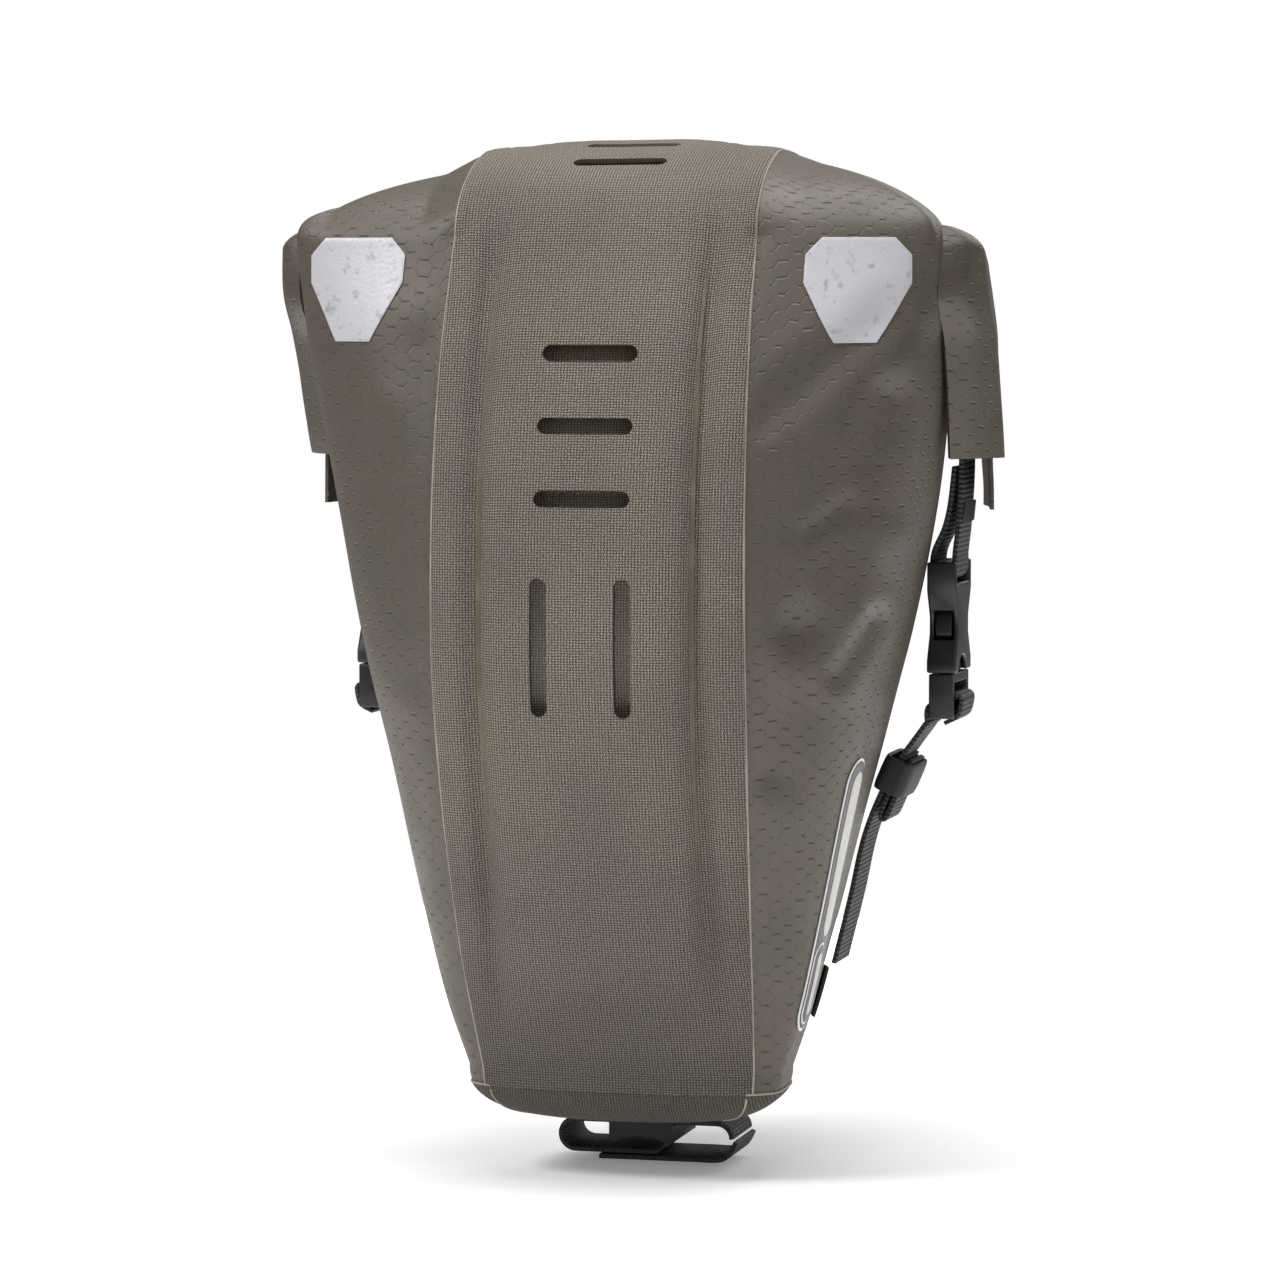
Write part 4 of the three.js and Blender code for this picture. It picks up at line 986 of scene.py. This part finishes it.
def makeSeams():
    for side, sign in sides:
        points = [stripPoint(0.5 + 0.5 * sign, k / 260, 0.05, -0.1, False) for k in range(261)]
        bead = tubeAlong("stripEdge" + side, points, beadWork["strip"])
        settle(bead, pipingCoat, "weave", "bag")
    centreY = bagShape["footCentreY"]
    rise = 1 - footSeam / footTop
    shrink = (1 - rise ** bagShape["footPower"]) ** (1 / bagShape["footPower"])
    for side, sign in sides:
        # Round the side panel's foot, from the strip's edge behind to the one in front
        ring = []
        low = seamAngle(stationAt(footTop), beadWork["footHalf"] / shrink, bagShape["rearPower"], True)
        high = seamAngle(stationAt(footTop), beadWork["footHalf"] / shrink, bagShape["frontPower"][0], False)
        for k in range(120):
            x, y = ringPoint(stationAt(footTop), low + (high - low) * k / 119)
            away = Vector((x, y - centreY, -6)).normalized() * 0.3
            spot = Vector((x * shrink, centreY + (y - centreY) * shrink, footSeam)) + away
            ring.append(Vector((sign * spot.x, spot.y, spot.z)))
        settle(tubeAlong("footPiping" + side, ring, beadWork["strip"]), pipingCoat, "weave", "bag")
        # On down over the foot patch, drawing in towards the pole
        edge = []
        for k in range(50):
            turn = math.radians(8 + 62 * k / 49)
            x = sign * (39.8 - 10 * (k / 49) ** 1.5)
            place, normal = hit((x, centreY, footSeam + 1.2), (0, -math.cos(turn), -math.sin(turn)))
            edge.append(place + normal * 0.45)
        settle(tubeAlong("footEdge" + side, edge, beadWork["foot"]), pipingCoat, "weave", "bag")


makeSeams()


# Reflectors and side labels
reflectorWork = {"width": 31, "height": 31, "rear": (76.8, 253.9), "crown": (69, 14), "wall": 0.4,
    "lift": 0.45}


def shieldHalf(v):
    # Half width of the shield outline at height v, from -1 at the foot to 1 at the top
    w, h = reflectorWork["width"] / 2, reflectorWork["height"] / 2
    z = v * h
    if z > h - 5:
        return w - (z - (h - 5)) * 0.95
    if z > 2:
        return w
    return w - (2 - z) / (2 + h) * (w - 6)


def makeReflectors():
    lift, wall = reflectorWork["lift"], reflectorWork["wall"]
    for side, sign in sides:

        def rearPoint(s, t):
            v = 2 * t - 1
            x = sign * reflectorWork["rear"][0] + (2 * s - 1) * shieldHalf(v)
            z = reflectorWork["rear"][1] + v * reflectorWork["height"] / 2
            return onto(x, 0, z, (0, 1, 0), lift, skins[sign])

        def crownPoint(s, t):
            v = 2 * t - 1
            x = sign * reflectorWork["crown"][0] + (2 * s - 1) * shieldHalf(v)
            y = reflectorWork["crown"][1] + v * reflectorWork["height"] / 2
            return onto(x, y, 300, (0, 0, -1), lift, skins[sign])

        for kind, shape in (("Rear", rearPoint), ("Crown", crownPoint)):
            film = gridPiece(f"reflector{kind}{side}", 30, 30, shape)
            thicken(film, wall, 0.12)
            settle(film, reflectorFilm, "reflective", "bag", f"reflector_{kind.lower()}_{side.lower()}")


labelWork = {"length": 84, "width": 16, "centre": (-26.5, 71.8), "tilt": -3, "leftForward": 10}


def stadium(name, sign, centre, length, width, lift, wall):
    # A round-ended patch laid on the bag's side, long way up
    radius = width / 2

    def point(s, t):
        up = (2 * t - 1) * length / 2
        over = abs(up) - (length / 2 - radius)
        half = radius if over <= 0 else math.sqrt(max(0.0, radius**2 - over**2))
        y = centre[0] + sign * (2 * s - 1) * half
        lean = up * math.tan(math.radians(labelWork["tilt"]))
        return onto(0, y + lean, centre[1] + up, (-sign, 0, 0), lift, skins[sign])

    patch = gridPiece(name, 18, 120, point)
    thicken(patch, wall)
    return patch


def makeLabels():
    z = labelWork["centre"][1]
    length, width = labelWork["length"], labelWork["width"]
    layers = [
        ("labelRim", length, width, 0, 0.5, labelRim),
        ("labelBand", length - 1.8, width - 1.8, 0, 0.68, labelDark),
        ("labelPlain", length * 0.6, width - 7, length * 0.15, 0.82, labelLight),
        ("labelLower", length * 0.3, width - 5.6, -length * 0.32, 0.82, labelRim),
        ("labelLowerBand", length * 0.3 - 1.4, width - 7, -length * 0.32, 0.95, labelDark),
        ("labelLowerPlain", length * 0.3 - 6, width - 11.6, -length * 0.32, 1.08, labelLight),
    ]
    for side, sign in sides:
        y = labelWork["centre"][0] + (0 if sign > 0 else labelWork["leftForward"])
        for name, long, wide, up, lift, material in layers:
            patch = stadium(name + side, sign, (y, z + up), long, wide, lift, 0.3)
            nodes = [f"side_label_{side.lower()}"] if name == "labelRim" else []
            settle(patch, material, "label", "bag", *nodes)


makeReflectors()
makeLabels()
print("reflectors and labels made")


# Folded roll ends
endWork = {
    "top": 273, "length": 70, "hemDrop": 16, "sheet": 1.3, "hemSheet": 1.1, "roundTop": 6,
    "hemRoute": [(108.0, 9.5), (105.6, 22), (102.6, 34), (99.4, 44.6)],
    "drops": [0, 0.1, 0.3, 0.5, 1],
    "root": [(98.8, -30), (98.9, -36), (98.6, -40), (98.4, -28), (97.4, -13)],
    "crest": [(108.4, -24), (109.2, -24), (110, -19), (110.4, -9), (110, 7)],
    "hem": [(97, 36), (97.6, 39), (98.8, 42), (99.4, 43), (100, 45)],
}


def endCorner(kind, drop):
    return [curveThrough(endWork["drops"], [p[k] for p in endWork[kind]], drop) for k in (0, 1)]


def endPoint(s, t):
    # s from the root behind round the crest to the hem in front, t from the bottom up
    drop = 1 - t
    fall = drop * endWork["length"]
    root, crest, hem = (endCorner(kind, drop) for kind in ("root", "crest", "hem"))
    outer = [
        root,
        (root[0] * 0.45 + crest[0] * 0.55 + 0.9, root[1] * 0.5 + crest[1] * 0.5 - 2.2),
        (crest[0] - 0.7, crest[1] - 2.6),
        (crest[0], crest[1] + 1.6),
        (crest[0] * 0.6 + hem[0] * 0.4 + 1.2, crest[1] * 0.6 + hem[1] * 0.4),
        (crest[0] * 0.25 + hem[0] * 0.75 + 0.8, crest[1] * 0.25 + hem[1] * 0.75),
        hem,
    ]
    x, y = routeThrough(outer, s)
    inset = 1 - math.sqrt(1 - (1 - clamp(fall / (endWork["roundTop"] + 30 * s * s))) ** 2)
    x -= inset * (x - 93.5 + 12 * s)
    return Vector((x, y, endWork["top"] - fall + 1.2 * inset))


def makeRollEnds():
    for side, sign in sides:
        flap = gridPiece("rollEnd" + side, 90, 84, endPoint)
        drape(flap, lambda p: (0.7 * noise.noise(Vector((p.y / 24, p.z / 34, 4 + 5 * sign)))
                               + 0.35 * noise.noise(Vector((p.y / 9, p.z / 26,
                                   9 + 2 * sign)))) * ease(270 - p.z, 0, 14))
        thicken(flap, endWork["sheet"])
        hemLow = endWork["top"] - endWork["length"] - endWork["hemDrop"]

        def hemPoint(s, t):
            z = hemLow + t * (endWork["hemDrop"] + 8)
            x, y = routeThrough(endWork["hemRoute"], s)
            return Vector((x - 1.2 - 0.03 * (z - hemLow), y, z))

        hem = gridPiece("rollHem" + side, 36, 24, hemPoint)
        drape(hem, lambda p: 0.5 * noise.noise(Vector((p.y / 13, p.z / 16, 2 + sign))))
        thicken(hem, endWork["hemSheet"])
        pickOnly(flap)
        hem.select_set(True)
        bpy.ops.object.join()
        if sign < 0:
            flap.data.transform(Matrix.Scale(-1, 4, (1, 0, 0)))
            turnOut(flap)
        settle(flap, ripstopFoldShaded, "ripstop", "end_" + side.lower(), "roll_end_" + side.lower())


makeRollEnds()


# Rolled mouth
rollWork = {"y": 61.9, "z": 261, "outer": 10.2, "inner": 3.6, "pitch": 2.9, "wall": 1.9, "half": 88}


def makeRoll():
    turns = (rollWork["outer"] - rollWork["wall"] / 2 - rollWork["inner"]) / rollWork["pitch"]

    def rollPoint(s, t):
        x = (2 * s - 1) * rollWork["half"]
        angle = t * turns * 2 * math.pi - math.pi / 2
        radius = rollWork["inner"] + t * turns * rollWork["pitch"]
        crease = 0.35 * noise.noise(Vector((x / 11, angle * 0.6, 3))) + 0.3 * noise.noise(Vector((x / 34,
            angle, 8)))
        radius += crease * clamp(t * 2)
        return Vector((x, rollWork["y"] + radius * math.cos(angle), rollWork["z"] + radius * math.sin(angle)))

    roll = gridPiece("mouthRoll", 120, 150, rollPoint)
    thicken(roll, rollWork["wall"], offset=0)
    settle(roll, ripstopFoldShaded, "ripstop", "roll", "mouth_roll")


makeRoll()
print("roll made")


# Webbing
def strapPiece(name, route, centreY, width, wall, samples):
    # A flat strap in the x-z plane along a route of (x, z), its width along y
    def point(s, t):
        x, z = routeThrough(route, t)
        return Vector((x, centreY + (s - 0.5) * width, z))

    strap = gridPiece(name, 10, samples, point)
    thicken(strap, wall, 0.25, offset=0)
    return strap


gear = {
    "y": 20, "width": 20, "wall": 1.5, "barX": 91, "barZ": 169, "stemX": 95.5, "loop": 3.5,
    "stemTop": 213, "bendZ": 198, "lockFoot": 122.8,
}


def loopRoute(radius):
    # Down the outside, round the bar and back up inside it
    x, z = gear["barX"], gear["barZ"]
    route = [(gear["stemX"] + 0.8, gear["stemTop"]), (gear["stemX"] + 0.9, gear["bendZ"]),
        (x + radius + 0.9, z + 12), (x + radius, z + 4)]
    for k in range(9):
        angle = -math.pi * k / 8
        route.append((x + radius * math.cos(angle), z + radius * math.sin(angle)))
    route += [(x - radius + 0.6, z + 5), (x + 0.2, z + 12), (gear["stemX"] - 2.6, gear["bendZ"] - 10),
        (gear["stemX"] - 1.2, gear["bendZ"] + 2)]
    return route


def barTack(name, centre, width, height, turns, lean=0.0):
    # A close zig-zag of thread across the strap
    points = []
    for k in range(turns * 2 + 1):
        y = centre[1] + (k / (turns * 2) - 0.5) * width
        z = centre[2] + (height / 2 if k % 2 else -height / 2)
        points.append(Vector((centre[0] + lean * (z - centre[2]), y, z)))
    return tubeAlong(name, points, 0.32)


def makeEndWebbing():
    right = strapPiece("endWebbingRight", loopRoute(gear["loop"]), gear["y"], gear["width"], gear["wall"],
        110)
    left = mirroredCopy(right, "endWebbingLeft")
    settle(right, webbingBlack, "webbing", "end_right", "end_webbing_right")
    settle(left, webbingBlack, "webbing", "end_left", "end_webbing_left")
    tack = barTack("barTackRight", (gear["stemX"] + 1.75, gear["y"], 186), 17, 6, 9, lean=0.12)
    twin = mirroredCopy(tack, "barTackLeft")
    settle(tack, threadBlack, "webbing", "end_right")
    settle(twin, threadBlack, "webbing", "end_left")


strapWork = {"anchorZ": 47.8, "hugZ": 87.2, "keeperZ": 105.2, "lean": math.atan2(13, 30), "lift": 2.4}


def frontHalf(z, y):
    station = stationAt(z)
    sin = ((y - station["waist"]) / (station["front"] - station["waist"])) ** (1 / station["frontPower"])
    return station["half"] * math.sqrt(max(0, 1 - sin * sin)) ** station["frontPower"]


def makeSideStraps():
    z0, z2 = strapWork["anchorZ"], strapWork["hugZ"]
    spots = [(gear["y"] - 13, z0), (gear["y"] - 7, (z0 + z2) / 2), (gear["y"], z2)]
    route = [(frontHalf(z, y - gear["width"] / 2) + strapWork["lift"], z, y) for y, z in spots]
    slope = math.tan(strapWork["lean"])
    hugX = route[2][0]
    route.append((hugX + (strapWork["keeperZ"] - z2) * slope, strapWork["keeperZ"], gear["y"]))
    route.append((gear["barX"] - 5.2, gear["lockFoot"] - 1.6, gear["y"]))

    def strapPoint(s, t):
        x, z, y = routeThrough(route, t)
        return Vector((x, y + (s - 0.5) * gear["width"], z))

    strap = gridPiece("sideStrapRight", 10, 70, strapPoint)
    thicken(strap, gear["wall"], 0.25, offset=0)
    keeperX = hugX + (strapWork["keeperZ"] - z2) * slope

    def leaning(x, y, z):
        turn = Matrix.Rotation(strapWork["lean"], 4, "Y")
        return Matrix.Translation((keeperX, gear["y"], strapWork["keeperZ"])) @ turn @ Vector((x, y, z))

    tailRoute = [(1.9, 7), (1.9, -4), (1.9, -12), (2.4, -13.6), (3.4, -13.9), (4.0, -12.8), (4.1, -4),
        (4.1, 6.4)]

    def tailPoint(s, t):
        x, z = routeThrough(tailRoute, t)
        return leaning(x, (s - 0.5) * (gear["width"] - 0.4), z)

    tail = gridPiece("strapTailRight", 10, 90, tailPoint)
    thicken(tail, 1.4, 0.2, offset=0)

    def keeperPoint(s, t):
        # A moulded loop round the straps
        angle = -t * 2 * math.pi
        wide, deep = gear["width"] / 2 + 1.5, 3.6
        cos, sin = math.cos(angle), math.sin(angle)
        y = wide * math.copysign(abs(cos) ** 0.3, cos)
        x = 1.4 + deep * math.copysign(abs(sin) ** 0.3, sin)
        bulge = 0.35 * (1 - (2 * s - 1) ** 4)
        return leaning(x + bulge * sin, y + bulge * cos, (s - 0.5) * 10.6)

    keeper = gridPiece("strapKeeperRight", 12, 72, keeperPoint)
    pickOnly(keeper)
    bpy.ops.object.mode_set(mode="EDIT")
    bpy.ops.mesh.select_all(action="SELECT")
    bpy.ops.mesh.remove_doubles(threshold=0.01)
    bpy.ops.object.mode_set(mode="OBJECT")
    thicken(keeper, 1.3, 0.3)

    def anchorPoint(s, t):
        z = strapWork["anchorZ"] - 16 + 15 * t
        low, high = -6, min(18, stationAt(z)["front"] - 2.5)
        return onto(0, low + (high - low) * s, z, (-1, 0, 0), 1.4)

    anchor = gridPiece("strapAnchorRight", 26, 16, anchorPoint)
    thicken(anchor, 1.1, 0.2)
    parts = [
        (strap, webbingBlack, "webbing", "bag", "side_strap"),
        (tail, webbingBlack, "webbing", "bag", "strap_tail"),
        (keeper, rubberBlack, "rubber", "keeper", "strap_keeper"),
        (anchor, webbingHook, "webbing", "bag", "strap_anchor"),
    ]
    for piece, material, slot, body, node in parts:
        twin = mirroredCopy(piece, piece.name.replace("Right", "Left"))
        for one, end in ((piece, "right"), (twin, "left")):
            rides = f"{body}_{end}" if body == "keeper" else body
            settle(one, material, slot, rides, f"{node}_{end}")


def makeLockWebbing():
    # The strap's turn through the ladder lock
    x, z = gear["barX"], gear["lockFoot"]
    route = [(x - 4.8, z - 2.4), (x - 5.2, z + 1.2), (x - 4.6, z + 3.4), (x - 1.5, z + 5.6),
        (x + 3.6, z + 7.2),
             (x + 5.6, z + 6.2), (x + 5.4, z + 3.2), (x + 4.4, z + 0.6), (x + 0.4, z - 1.6)]
    right = strapPiece("lockWebbingRight", route, gear["y"], gear["width"] - 0.6, 1.3, 70)
    left = mirroredCopy(right, "lockWebbingLeft")
    settle(right, webbingBlack, "webbing", "plug_right")
    settle(left, webbingBlack, "webbing", "plug_left")


makeEndWebbing()
makeSideStraps()
makeLockWebbing()
print("webbing made")


# Seatpost strap and pad
footGear = {"y": 8, "width": 26, "wall": 1.6, "top": -2.2, "half": 28, "deep": 11}


def makeFootStrap():
    y, top = footGear["y"], footGear["top"]
    half, deep = footGear["half"], footGear["deep"] / 2
    wall = footGear["wall"]
    route = [(6, top - wall / 2), (20, top - wall / 2)]
    for k in range(7):
        angle = math.pi / 2 - math.pi / 2 * k / 6
        route.append((1 + half - deep + (deep - wall / 2) * math.cos(angle),
            top - deep + (deep - wall / 2) * math.sin(angle)))
    upper = list(reversed(route))
    left = []
    for k in range(13):
        angle = math.pi / 2 + math.pi * k / 12
        left.append((1 - half + deep + (deep - wall / 2) * math.cos(angle),
            top - deep + (deep - wall / 2) * math.sin(angle)))
    whole = upper + [(-8, top - wall / 2)] + left + [(-8, top - 2 * deep + wall / 2),
        (4.6, top - 2 * deep + wall / 2)]
    strap = strapPiece("seatpostStrap", whole, y, footGear["width"], wall - 0.1, 130)
    settle(strap, webbingHook, "webbing", "bag", "seatpost_strap")
    low = top - footGear["deep"] - 0.4 - wall / 2
    tabRoute = [(-14, low), (0, low), (16, low), (24.6, low + 0.2), (27.4, low + 2.0),
        (29.6, top - deep - 0.8)]
    tab = strapPiece("strapTab", tabRoute, y, footGear["width"], wall - 0.1, 60)
    settle(tab, webbingHook, "webbing", "strap_end", "strap_tab")
    pad = bevelledCopy("seatpost_pad", "seatpostPad", 0.6)
    settle(pad, rubberBlack, "rubber", "bag", "seatpost_pad")


makeFootStrap()


# Moulded and metal parts
def makeHardParts():
    parts = []
    for end in ("right", "left"):
        side = end.capitalize()
        parts += [
            (f"buckle_housing_{end}", "buckleHousing" + side, acetalBlack, "acetal", f"housing_{end}", 0.7),
            (f"buckle_plug_{end}", "bucklePlug" + side, acetalBlack, "acetal", f"plug_{end}", 0.5),
            (f"prong_rear_{end}", "prongRear" + side, acetalBlack, "acetal", f"prong_rear_{end}", 0.45),
            (f"prong_front_{end}", "prongFront" + side, acetalBlack, "acetal", f"prong_front_{end}", 0.45),
        ]
    parts += [
        ("bracket_receiver", "bracketReceiver", nylonBlack, "nylon", "bag", 0.9),
        ("backing_plate", "backingPlate", nylonBlack, "nylon", "bag", 0.4),
        ("lever_pin", "leverPin", steelBright, "steel", "bag", 0.25),
        ("closure_bar", "closureBar", nylonBlack, "nylon", "roll", 0.4),
        ("release_lever", "releaseLever", acetalBlack, "acetal", "lever", 0.8),
        ("rail_jaw_lower", "railJawLower", aluminiumGrey, "aluminium", "rail_clamp", 0.6),
        ("rail_jaw_upper", "railJawUpper", aluminiumGrey, "aluminium", "rail_clamp", 0.6),
    ]
    for k in (1, 2):
        parts.append((f"clamp_bolt_{k}", f"clampBolt{k}", steelBright, "steel", "rail_clamp", 0.35))
    for k in (1, 2, 3, 4):
        parts.append((f"bracket_screw_{k}", f"bracketScrew{k}", steelBright, "steel", "bag", 0.3))
    for node, name, material, slot, body, width in parts:
        piece = bevelledCopy(node, name, width)
        settle(piece, material, slot, body, node)


makeHardParts()
print("hard parts made")


# Floor, light and camera
studio = {
    "azimuth": 14, "elevation": 4.0, "distance": 1.6, "lens": 147.7, "target": (2.9, -20, 147.4),
    "floorSize": 1.1, "floorGlow": 0.2, "glowFrom": 0.2, "glowTo": 0.5, "world": 0.22,
    "keyPlace": (-1.1, -1.0, 1.35), "keySize": 0.8, "keyPower": 22,
    "fillPlace": (1.4, -1.3, 0.6), "fillSize": 1.3, "fillPower": 2.5,
    "topPlace": (0.1, -0.1, 1.5), "topSize": 1.2, "topPower": 25,
    "backPlace": (0.6, 1.6, 1.0), "backSize": 1.2, "backPower": 9,
}


def addLight(name, place, size, power):
    light = bpy.data.lights.new(name, "AREA")
    light.shape = "DISK"
    light.size = size
    light.energy = power
    lamp = bpy.data.objects.new(name, light)
    bpy.context.scene.collection.objects.link(lamp)
    middle = bagZero + Vector((0, 0, 0.15))
    lamp.location = middle + Vector(place)
    lamp.rotation_euler = (middle - lamp.location).to_track_quat("-Z", "Y").to_euler()


def makeStudio():
    lowest = min(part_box("strap_tab")[0].z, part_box("seatpost_pad")[0].z)
    bpy.ops.object.select_all(action="DESELECT")
    bpy.ops.mesh.primitive_plane_add(size=studio["floorSize"], location=(0, 0, lowest - 0.0015))
    floor = bpy.context.object
    floor.name = "studioFloor"
    bpy.ops.object.transform_apply(location=True)
    material, tree, shader = newMaterial("mattPaper")
    place = addNode(tree, "TexCoord", {}, {})
    grain = addNode(tree, "TexNoise", {}, {"Vector": place.outputs["Object"], "Scale": 300})
    tone = addNode(tree, "MapRange", {}, {0: grain.outputs["Fac"], 3: 0.9, 4: 0.93})
    tree.links.new(tone.outputs[0], shader.inputs["Base Color"])
    shader.inputs["Roughness"].default_value = 0.9
    shader.inputs["Emission Color"].default_value = (1, 1, 1, 1)
    far = addNode(tree, "VectorMath", {"operation": "LENGTH"}, {0: place.outputs["Object"]})
    glow = addNode(tree, "MapRange", {},
        {0: far.outputs[1], 1: studio["glowFrom"], 2: studio["glowTo"], 3: studio["floorGlow"], 4: 1.0})
    tree.links.new(glow.outputs[0], shader.inputs["Emission Strength"])
    floor.data.materials.append(material)
    for name in ("key", "fill", "top", "back"):
        addLight(name + "Light", studio[name + "Place"], studio[name + "Size"], studio[name + "Power"])
    world = bpy.context.scene.world or bpy.data.worlds.new("studioWorld")
    bpy.context.scene.world = world
    world.use_nodes = True
    tree = world.node_tree
    tree.nodes.clear()
    path = addNode(tree, "LightPath", {}, {})
    seen = addNode(tree, "Mix", {}, {0: path.outputs["Is Camera Ray"], 2: studio["world"], 3: 1.0})
    sky = addNode(tree, "Background", {}, {"Color": (1, 1, 1, 1), "Strength": seen.outputs[0]})
    addNode(tree, "OutputWorld", {}, {"Surface": sky.outputs[0]})
    camera = bpy.data.objects.new("camera", bpy.data.cameras.new("camera"))
    bpy.context.scene.collection.objects.link(camera)
    turn, lift = math.radians(studio["azimuth"]), math.radians(studio["elevation"])
    target = toRow @ Vector(studio["target"])
    away = Vector((math.sin(turn) * math.cos(lift), -math.cos(turn) * math.cos(lift), math.sin(lift)))
    camera.location = target + away * studio["distance"]
    camera.rotation_euler = (-away).to_track_quat("-Z", "Y").to_euler()
    camera.data.lens = studio["lens"]
    camera.data.sensor_width = 36
    camera.data.clip_end = 50
    bpy.context.scene.camera = camera
    bpy.context.scene.view_settings.view_transform = "Standard"


makeStudio()
print("studio made")
